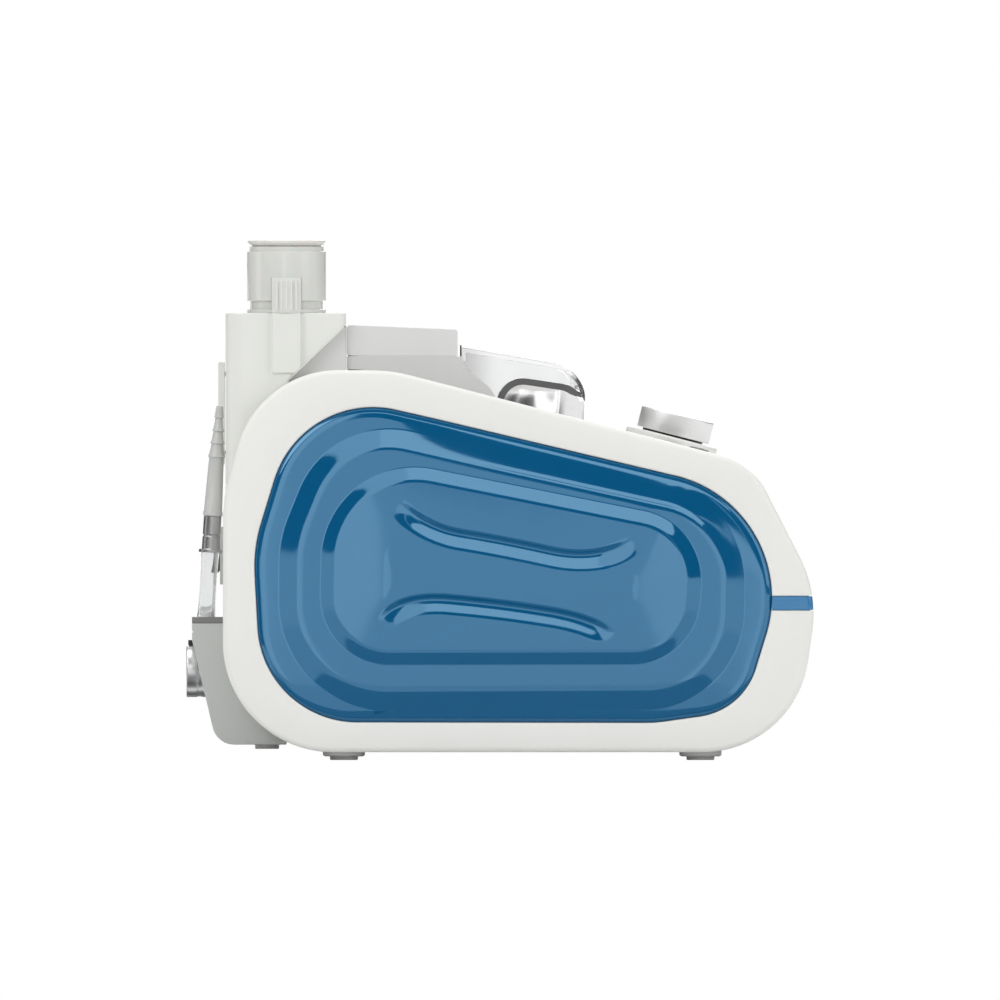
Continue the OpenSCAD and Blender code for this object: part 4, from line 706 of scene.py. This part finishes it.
pan = soften(copy_of("chamber_pan", "drawn_pan"), 0.3)
settle(carve(pan, cube("rim_cut", (-18.6, -60, 158), (60, 60, 190))))
pan_metal = metal("pan_metal", (0.82, 0.82, 0.825), 0.13, (0.3, 0.3, 1.6), 300, 0.003, 0.01)
dress(pan, pan_metal, "pan_metal", "chamber_pan", body="chamber")

# pan skirt: the pan's side swells out to fill the finger grip, with a shallow dish pressed into each side
PAN_PLAN = ((-60.4, -42, 8), (-60.4, 42, 8), (24.6, 36, 14), (24.6, -36, 14))
SKIRT_LEVELS, SKIRT_LOW, SKIRT_GAP, SKIRT_LEAN, SKIRT_WALL = 26, 121, 0.45, 0.035, 0.8
STEP_X, STEP_DEPTH = -0.8, 2
DISH_X, DISH_REACH, DISH_FRONT, DISH_DEPTH, DISH_REAR = 15, 16.5, 20, 1.8, -1.5
# Where the dish begins and has its full depth, and where it begins and ends to flatten, in height
DISH_LOW, DISH_FULL, DISH_HIGH, DISH_FLAT = 146, 168, 166, 172
# The two arcs of the grip's edging: x and z of their middles, and radius. The front one stops before its end
GRIP_REAR, GRIP_FRONT, GRIP_STOP = (10.5, 160.2, 10.2), (26.4, 157.2, 10.8), 18


def grip_top(x):
    """Height of the middle of the grip's edging"""
    (rear_x, rear_z, rear_r), (front_x, front_z, front_r) = GRIP_REAR, GRIP_FRONT
    if x < rear_x:
        return rear_z + math.sqrt(max(rear_r ** 2 - (x - rear_x) ** 2, 0))
    if x < front_x:
        share = (x - rear_x) / (front_x - rear_x)
        return (rear_z + rear_r) * (1 - share) + (front_z + front_r) * share
    return front_z + math.sqrt(max(front_r ** 2 - (x - front_x) ** 2, GRIP_STOP))


def skirt_point(p, share, wall=0.0):
    """A point of the skirt: p on the plan, share of the way up, and how far inside its skin"""
    rear, front, half = PAN_PLAN[0][0], PAN_PLAN[2][0], PAN_PLAN[2][1]
    core = Vector((min(max(p.x, rear), front), min(max(p.y, -half), half)))
    z = SKIRT_LOW + share * (grip_top(p.x) - SKIRT_LOW)
    away = (p.x - DISH_X) / DISH_REACH if p.x < DISH_X else (p.x - DISH_X) / DISH_FRONT
    dish = DISH_DEPTH * (1 - (away ** 2 if p.x < DISH_X else ease(away)))
    dish *= ease((z - DISH_LOW) / (DISH_FULL - DISH_LOW))
    dish *= 1 - 0.5 * ease((z - DISH_HIGH) / (DISH_FLAT - DISH_HIGH))
    inset = wall + SKIRT_GAP + STEP_DEPTH * ease(STEP_X - p.x) + SKIRT_LEAN * (grip_top(p.x) - z)
    inset += max(dish, 0) if p.x > DISH_REAR else 0
    spot = p + (core - p).normalized() * inset
    return spot.x * MM, spot.y * MM, z * MM


plan = belt(PAN_PLAN)
sections = [(k / SKIRT_LEVELS, 0) for k in range(SKIRT_LEVELS + 1)] + [(k, SKIRT_WALL) for k in (1, 0.5, 0)]
rings = [[skirt_point(p, share, wall) for p in plan] for share, wall in sections]
dress(skin("pan_skirt", rings, "joined", 50), pan_metal, "pan_metal", "chamber_pan", body="chamber")
from_cad("chamber_baffle", "tank_divider", clear, "clear_plastic", 0.4, body="chamber")

# Filler lid: a hollow grey moulding on a thin steel pin, with its ears let into notches of the rear edge.
# It is the same ABS as the hood, closes on the flat gasket, and swings back for the tank to be filled.
LID_SIDE = [(-68.85, 182.3), (-66, 181.9), (-19, 181.9), *bow(-20.5, 192.3, 1.5, 0, 88),
            *bow(-66, 193.6, 2.85, 131, 180)]
LID_MID, LID_HALF = (-44, 188.8), (25, 7)
LID_ENDS = ((-50, 0.25), (-49.9, 0.07), (-49.7, 0), (49.7, 0), (49.9, 0.07), (50, 0.25))
LID_HOLLOW = ((-61.8, 180.9), (-21, 180.9), (-21, 191.6), (-61.8, 193.4))
HINGE = Matrix.Translation((-66, 0, 193.6)) @ Matrix.Rotation(math.radians(90), 4, "X")
PIN_BORE = ((1.25, -49.3), (1.25, 49.3))


def lid_point(x, z, y, trim):
    """A corner of the lid's outline at y, drawn in by trim"""
    return ((x - (x - LID_MID[0]) * trim / LID_HALF[0]) * MM, y * MM,
            (z - (z - LID_MID[1]) * trim / LID_HALF[1]) * MM)


lid = skin("lid_moulding", [[lid_point(x, z, y, trim) for x, z in LID_SIDE] for y, trim in LID_ENDS])
carve(lid, side_slab("lid_hollow", LID_HOLLOW, -48, 48))
for low_y, high_y in ((-43.7, -38), (38, 43.7)):
    carve(lid, cube("ear_notch", (-70, low_y, 180), (-63, high_y, 198)))
settle(carve(lid, turned("pin_bore", PIN_BORE, HINGE, "faced", 32)))
dress(lid, grey_plastic, "smoke_plastic", "filler_lid", body="chamber_lid")
steel = metal("plain_steel", (0.56, 0.565, 0.57), 0.28, (1, 0.1, 1), 1500)
from_cad("lid_pin", "lid_hinge_pin", steel, "chrome", 0.3, body="chamber")

# Heater under the chamber: a cast aluminium plate, ground flat on top, in a tray of dark heat-proof plastic.
# The pan stands on the plate, and the tray keeps the plate's heat from the housing.
plate_metal = metal("ground_aluminium", (0.6, 0.6, 0.6), 0.34, (0.15, 1.4, 1), 700, 0.012)
from_cad("heater_plate", "heater_ground_plate", plate_metal, "pan_metal", 0.6, 3)
dark_plastic = plastic("dark_plastic", (0.028, 0.03, 0.033), 0.42, tone=0.2, grain=1100, relief=0.03,
                       dust=0.08)
from_cad("heater_insulator", "heater_tray", dark_plastic, "dark_plastic", 0.3)

# Console: a white plate let into the slope, with a smoked glass window over the display and three soft keys.
# Key signs are raised and generic: standby, bell and list. The display glows softly behind its glass.
SLOPE_FOOT, SLOPE_TURN = (-40.926, 0, 171.727), 14.432
SLOPE = Matrix.Translation(SLOPE_FOOT) @ Matrix.Rotation(math.radians(SLOPE_TURN), 4, "Y")
from_cad("console_plate", "console_cover", shell_white, "shell_white", 0.4, 3)
smoked_glass = see_through("smoked_glass", (0.16, 0.18, 0.2), 0.05, 0.9, 1.5, (1, 1, 1), 0.001)
from_cad("display_glass", "display_window", smoked_glass, "display_glass", 0.3, 3)

# screen: soft blue traces and a bar of cells on black, drawn on the console's own plane in millimetres
screen, _, screen_out = new_group("screen", (), (("Glow", "NodeSocketColor"),))
TRACES, TRACE_Y, TRACE_PITCH, TRACE_LINE = ((106.0, 7.0), (121.0, 5.0)), (-46.0, -6.0), 11.0, 0.44
CELL_PITCH, CELL_SHARE, CELLS_MIDDLE, CELLS_HALF = 2.0, 0.7, (2.0, 114.0), (2.5, 8.0)


def on_screen(operation, *values):
    """The result of a Math node in the screen's group"""
    return math_node(screen, operation, *values)


on_console = screen.nodes.new("ShaderNodeMapping")
on_console.vector_type = "TEXTURE"
set_sockets(on_console, Location=[c * MM for c in SLOPE_FOOT], Rotation=(0, math.radians(SLOPE_TURN), 0))
screen.links.new(spot_of(screen), on_console.inputs["Vector"])
split = screen.nodes.new("ShaderNodeSeparateXYZ")
screen.links.new(on_console.outputs[0], split.inputs[0])
down_slope, across = (on_screen("MULTIPLY", split.outputs[axis], 1000.0) for axis in "XY")
wave = on_screen("SINE", on_screen("MULTIPLY", across, math.tau / TRACE_PITCH))
pulse = on_screen("SMOOTH_MAX", wave, -0.15, 0.3)
lit = []
for low, swing in TRACES:
    miss = on_screen("SUBTRACT", down_slope, on_screen("MULTIPLY_ADD", pulse, -swing, low))
    lit.append(on_screen("LESS_THAN", on_screen("ABSOLUTE", miss), TRACE_LINE))
within = on_screen("MULTIPLY", on_screen("GREATER_THAN", across, TRACE_Y[0]),
                   on_screen("LESS_THAN", across, TRACE_Y[1]))
traces = on_screen("MULTIPLY", on_screen("MAXIMUM", *lit), within)
cell = on_screen("LESS_THAN", on_screen("FRACT", on_screen("DIVIDE", down_slope, CELL_PITCH)), CELL_SHARE)
in_cells = [on_screen("LESS_THAN", on_screen("ABSOLUTE", on_screen("SUBTRACT", place, middle)), half)
          for place, middle, half in zip((across, down_slope), CELLS_MIDDLE, CELLS_HALF)]
marks = on_screen("MAXIMUM", traces, on_screen("MULTIPLY", cell, on_screen("MULTIPLY", *in_cells)))
glow = blend(screen, marks, (0.002, 0.004, 0.008, 1), (0.12, 0.55, 0.9, 1))
screen.links.new(glow, screen_out.inputs["Glow"])
screen_face = plastic("screen_face", (0.012, 0.014, 0.018), 0.25, tone=0.1, grain=700, relief=0.002, dust=0.0,
                      Emission_Strength=1.6)
picture = screen_face.node_tree.nodes.new("ShaderNodeGroup")
picture.node_tree = screen
screen_face.node_tree.links.new(picture.outputs["Glow"],
                                screen_face.node_tree.nodes["Principled BSDF"].inputs["Emission Color"])


def paint(node, material):
    """Gives a CAD node that stays in view its material"""
    nodes[node].data.materials.clear()
    nodes[node].data.materials.append(material)


paint("display_module", screen_face)
key_grey = plastic("key_silicone", (0.2, 0.215, 0.225), 0.5, tone=0.12, grain=1300, relief=0.015, dust=0.04)
sign_white = plastic("sign_white", (0.8, 0.81, 0.8), 0.45, tone=0.06, grain=900, relief=0.01)
KEY_S, KEY_TOP = 134.5, (2.05, 2.46)


def sign(key_name, key_y, shapes):
    """Raised shapes on a key: each an outline of points, right and up as the user sees them"""
    parts = [skin("sign", [[(SLOPE @ Vector((KEY_S - up, key_y + right, n))) * MM for right, up in shape]
                           for n in KEY_TOP]) for shape in shapes]
    bpy.ops.object.select_all(action="DESELECT")
    for part in parts:
        part.select_set(True)
    bpy.context.view_layer.objects.active = parts[0]
    if len(parts) > 1:
        bpy.ops.object.join()
    parts[0].name = parts[0].data.name = f"{key_name}_key_sign"
    return parts[0]


def bar_shape(x, y, width, height):
    """A small upright rectangle round its middle"""
    return [(x + a * width / 2, y + b * height / 2) for a, b in ((-1, -1), (1, -1), (1, 1), (-1, 1))]


SIGNS = (
    ("standby", -37, [bar_shape(0, 1.45, 0.45, 1.9)] + [
        bow(0, 0, 1.9, a, a + 20, 2) + bow(0, 0, 1.45, a + 20, a, 2) for a in range(120, 420, 20)]),
    ("mute", -19, [[(-1.7, -1.15), (-1.15, -0.55), (-1.05, 0.45), *bow(0, 0.5, 1.05, 170, 10, 10),
                    (1.05, 0.45), (1.15, -0.55), (1.7, -1.15), (0.5, -1.15), *bow(0, -1.25, 0.5, 0, -180, 6),
                    (-0.5, -1.15)]]),
    ("mode", -1, [bar_shape(0, up, 3.2, 0.5) for up in (-1.1, 0, 1.1)]))
for key_name, key_y, shapes in SIGNS:
    from_cad(f"{key_name}_key", f"{key_name}_key_cap", key_grey, "key_grey", 0.15, body=f"{key_name}_key")
    dress(sign(key_name, key_y, shapes), sign_white, "key_grey", body=f"{key_name}_key")

# Knob: an aluminium cap turned on a lathe, its side brushed round, over a white plastic ring on the slope.
# It pushes and turns, so a dark gap is left under it. Its shaft and the encoder below are standard parts.
KNOB = SLOPE @ Matrix.Translation((121.4, 34, 0))
KNOB_CAP = [(3, 5.3), (5.8, 5.1), (6, 5.3), (6, 12.4), (14.6, 12.6), (14.8, 12.4), (14.8, 5.2), (15, 5),
            *bow(16.3, 5.3, 0.3, -90, 0, 4), *bow(15.75, 13.75, 0.85, 0, 78, 7), (15.3, 14.72), (14.9, 14.72),
            (14.7, 14.78), (9.96, 15.2), (5, 15.45), (1.5, 15.55), (0.3, 15.58), (0.3, 13.6), (3, 13.6)]
PLINTH = [(5.9, 1), (20.8, 1), (21, 1.2), (21, 2.8), (20.75, 3.5), (20.3, 3.9), (19.7, 4.1), (18.2, 4.1),
          (18, 3.9), (17.6, 3.9), (17.4, 4.1), (6.1, 4.1), (5.9, 3.9)]
DUST_RING = [(12.4, 3.6), (13.6, 3.6), (13.8, 3.8), (13.8, 5.5), (13.6, 5.7), (12.6, 5.7), (12.4, 5.5)]
knob = turned("knob_cap", KNOB_CAP, KNOB, segments=144, smooth=35)
knob_metal = metal("knob_metal", (0.94, 0.935, 0.93), 0.44, (0.02, 0.02, 1), 2600, 0.0004, 0.006, SLOPE_TURN,
                   Anisotropic=0.6)
dress(knob, knob_metal, "knob_metal", "knob", body="knob")
dress(turned("knob_ring", PLINTH, KNOB), shell_white, "shell_white", "knob_plinth")
dress(turned("knob_dust_ring", DUST_RING, KNOB), dark_plastic, "dark_plastic")
shaft_steel = metal("turned_steel", (0.5, 0.5, 0.51), 0.3, (0.05, 0.05, 1), 3000, 0.004, 0.02, SLOPE_TURN)
for node in ("encoder_plunger", "encoder_shaft"):
    paint(node, shaft_steel)
paint("encoder_body", dark_plastic)

# Rear gas block: a light grey moulding that follows the machine's heel, with a dark cap on top.
# A chrome quick coupler for the oxygen hose stands on its back, with a small dark release pin over it.
block_grey = plastic("block_grey", (0.52, 0.535, 0.52), 0.38, tone=0.06, grain=800, relief=0.03, dust=0.05)
from_cad("gas_block", "gas_block_body", block_grey, "grey_plastic", 0.45, 3)
cap_grey = plastic("cap_grey", (0.2, 0.202, 0.198), 0.4, tone=0.15, grain=900, relief=0.03, dust=0.1)
from_cad("block_cap", "gas_block_cap", cap_grey, "dark_plastic", 0.35, 3)
COUPLER = Matrix.Translation((-128, -24, 40)) @ Matrix.Rotation(math.radians(-90), 4, "Y")
QUICK_COUPLER = [(5, 1), (11.5, 0.02), (11.7, 0.2), (11.7, 5.6), (11.6, 5.9), (11.45, 6.2), (11.45, 7.8),
                 (11.6, 8.1), (11.7, 8.4), *bow(11.1, 12.4, 0.6, 0, 90), (6.2, 13), (5.8, 12.85), (5.1, 12.3),
                 (5, 12)]
chrome = metal("satin_nickel", (0.8, 0.805, 0.81), 0.32, (1, 0.05, 0.05), 1200, 0.0004, 0.01)
dress(turned("oxygen_quick_coupler", QUICK_COUPLER, COUPLER), chrome, "chrome", "oxygen_coupler")
paint("coupler_release", dark_plastic)

# Inlet stem: a clear riser tube that leans on the tower, a bright collar, and a stepped barb for a thin tube.
# Tube and barb are moulded, and the collar is turned. A black rubber strip guards the block's lower corner.
STEM_LEAN, RISER_TOP = 3.7, 45.5
RISER = Matrix.Translation((-132.1, -22, 64.4)) @ Matrix.Rotation(math.radians(STEM_LEAN), 4, "Y")
BARB = RISER @ Matrix.Translation((0, 0, RISER_TOP))
RISER_TUBE = [(3.2, -1.5), (4.1, -1.5), (4.1, 1.2), (3.9, 2.2), (3.75, 8), (3.75, 21), (3.9, 26), (4.1, 28),
              (4.1, 29), (3.2, 29)]
BRIGHT_COLLAR = [(2.4, 29), (5.1, 29), (5.3, 29.2), (5.3, 30.2), (5.1, 30.4), (4.2, 30.5), (4, 30.8),
                 (4, 35.9), (3.85, 36.1), (3.65, 36.3), (3.6, 36.5), (3.6, 36.9), (3.7, 37.1), (4, 37.3),
                 (4, 45.3), (3.8, 45.5), (2.4, 45.5)]
STEPPED_BARB = [(0.9, 0), (4.2, 0), (4.4, 0.3), (4.4, 1.7), (4.25, 2), (4.1, 2.3), (3.3, 26.4), (3.85, 26.5),
                (3.9, 26.7), (3.3, 28.2), (2.6, 32.5), (3.15, 32.6), (3.2, 32.8), (2.7, 34.1), (2.1, 38.1),
                (2.65, 38.2), (2.7, 38.4), (2.2, 39.7), (1.6, 44.1), (2.05, 44.2), (2.1, 44.4), (1.55, 49.4),
                (1.35, 49.6), (0.9, 49.6)]
tube_clear = see_through("tube_clear", (0.93, 0.94, 0.94), 0.03, 0.97, 1.12, Coat_Weight=0.3,
                         Coat_Roughness=0.05)
dress(turned("clear_riser", RISER_TUBE, RISER, segments=64), tube_clear, "clear_plastic", "riser_tube")
collar_metal = metal("collar_metal", (0.5, 0.5, 0.5), 0.34, (0.05, 0.05, 1), 2600, 0.0005, 0.01, STEM_LEAN)
dress(turned("riser_bright_collar", BRIGHT_COLLAR, RISER, segments=64), collar_metal, "chrome", "riser_collar")
barb_grey = plastic("barb_plastic", (0.56, 0.57, 0.555), 0.22, tone=0.12, grain=500, relief=0.004, dust=0.04,
                    Subsurface_Weight=0.2, Subsurface_Scale=0.003, Coat_Weight=0.2)
dress(turned("stepped_barb", STEPPED_BARB, BARB, segments=64), barb_grey, "smoke_plastic", "inlet_barb")
from_cad("heel_bumper", "heel_rubber_strip", rubber, "rubber", 0.25)

# Rear face of the tower: a snap-in mains inlet with three pins and a rocker switch, and the filter's cover.
# They are moulded, and the pins are plated brass. The cover is slotted and pulls off its block of black foam.
from_cad("mains_inlet", "mains_inlet_body", block_grey, "grey_plastic", 0.25)
pin_metal = metal("pin_metal", (0.66, 0.6, 0.46), 0.26, (0.1, 1, 1), 1500, 0.003)
paint("inlet_pins", pin_metal)
from_cad("switch_rocker", "power_rocker", soft_black, "dark_plastic", 0.3, body="power_switch")
from_cad("filter_cover", "filter_cover_moulding", tower_white, "grey_plastic", 0.3, body="filter_cover")

# foam: open pores as dark cells in a fine random net
foam, tree, shader = new_material("filter_foam")
pores = tree.nodes.new("ShaderNodeTexVoronoi")
pores.feature = "DISTANCE_TO_EDGE"
set_sockets(pores, Scale=900)
tree.links.new(spot_of(tree), pores.inputs["Vector"])
net = ramp(tree, pores.outputs["Distance"], From_Max=0.25)
strand = blend(tree, net, (0.09, 0.092, 0.095, 1), (0.006, 0.006, 0.007, 1))
cover_with(tree, shader, strand, 0.95, net, 1.0, 0.4).invert = True
paint("air_filter", foam)

# Underside: four rubber feet with a cupped sole, and a base cover held by four cross-recessed screws.
# The cover is a grey moulding let into the housing's floor, with nine louvres for the cooling air.
foot_grey = plastic("foot_rubber", (0.5, 0.5, 0.49), 0.6, tone=0.15, grain=1400, relief=0.02, dust=0.1)
FOOT_PAD = [(0.4, 0.8), (4.2, 0.7), (4.8, 0.15), (5.2, 0), (5.9, 0), (6.2, 0.2), (6.3, 0.5), (6.3, 1.5),
            (6.5, 1.6), (8.3, 1.6), (8.6, 1.65), (9.4, 2.2), (9.5, 2.4), (9.5, 4.4), (9.4, 4.5), (0.4, 4.5)]
for end, x in (("rear", -70.1), ("front", 90.3)):
    for body_side, hand in HANDS:
        pad = turned(f"{end}_{body_side}_pad", FOOT_PAD, Matrix.Translation((x, 73 * hand, 0)), segments=72)
        dress(pad, foot_grey, "rubber", f"foot_{end}_{body_side}")
SCREW_SPOTS = [(x, y) for x in (-60, 78) for y in (-51.5, 51.5)]
SCREW_WELL = ((2.6, 3), (2.6, 4.3), (1.5, 4.3), (1.5, 12))
COVER_EASE = ((0.3, 3.6), (0.09, 3.69), (0, 3.9), (0, 5.1))
COVER, PLUG = (-70, 90, 54.5, 4), (-65.85, 85.85, 48.85, 0.5)
LOUVRES, LOUVRE_START, LOUVRE_PITCH, LOUVRE_WIDTH, LOUVRE_Y = 9, -46, 7, 3.5, (20, 44)


def cover_ring(sizes, z, inset=0):
    """A rectangle with round corners at a height. Its sizes are rear, front, half width and corner radius"""
    rear, front, half, radius = sizes
    far, near, side = front - radius, rear + radius, half - radius
    corners = ((far, side, 0), (near, side, 90), (near, -side, 180), (far, -side, 270))
    return [(x * MM, y * MM, z * MM) for a, b, turn in corners
            for x, y in bow(a, b, radius - inset, turn, turn + 90)]


base = skin("base_louvred_cover", [cover_ring(COVER, z, inset) for inset, z in COVER_EASE]
            + [cover_ring(PLUG, z) for z in (5.1, 9.6)])
for spot in SCREW_SPOTS:
    carve(base, turned("screw_well", SCREW_WELL, Matrix.Translation((*spot, 0)), "faced", 48))
for k in range(LOUVRES):
    start = LOUVRE_START + LOUVRE_PITCH * k
    carve(base, cube("louvre", (start, LOUVRE_Y[0], 2), (start + LOUVRE_WIDTH, LOUVRE_Y[1], 12)))
settle(base)
base_grey = plastic("base_grey", (0.4, 0.41, 0.405), 0.45, tone=0.06, grain=900, relief=0.04, dust=0.05)
dress(base, base_grey, "grey_plastic", "base_cover")
screws = soften(copy_of("base_screws", "base_cover_screws"), 0.15)
for x, y in SCREW_SPOTS:
    for wide, deep in ((1.5, 0.3), (0.3, 1.5)):
        carve(screws, cube("recess", (x - wide, y - deep, 3), (x + wide, y + deep, 4.2)))
dress(screws, steel, "steel", "base_screws")

# Inside: ducts, seals, blower, valve, supply and boards, hidden unless a cover is off, in the CAD's shapes.
# The ducts and the volute are moulded, motor and supply have steel cases, and the valve is turned brass.
board_green = plastic("board_green", (0.012, 0.085, 0.045), 0.3, tone=0.5, grain=700, relief=0.02)
brass = metal("valve_brass", (0.62, 0.46, 0.2), 0.3, (0.1, 1, 1), 1500, 0.004)
for node, material in (("outlet_elbow", smoke), ("inlet_elbow", smoke), ("chamber_port_seals", rubber),
                       ("key_board", board_green), ("main_board", board_green), ("blower_volute", block_grey),
                       ("blower_impeller", shell_white), ("blower_motor", steel), ("oxygen_valve", brass),
                       ("power_supply", steel)):
    paint(node, material)
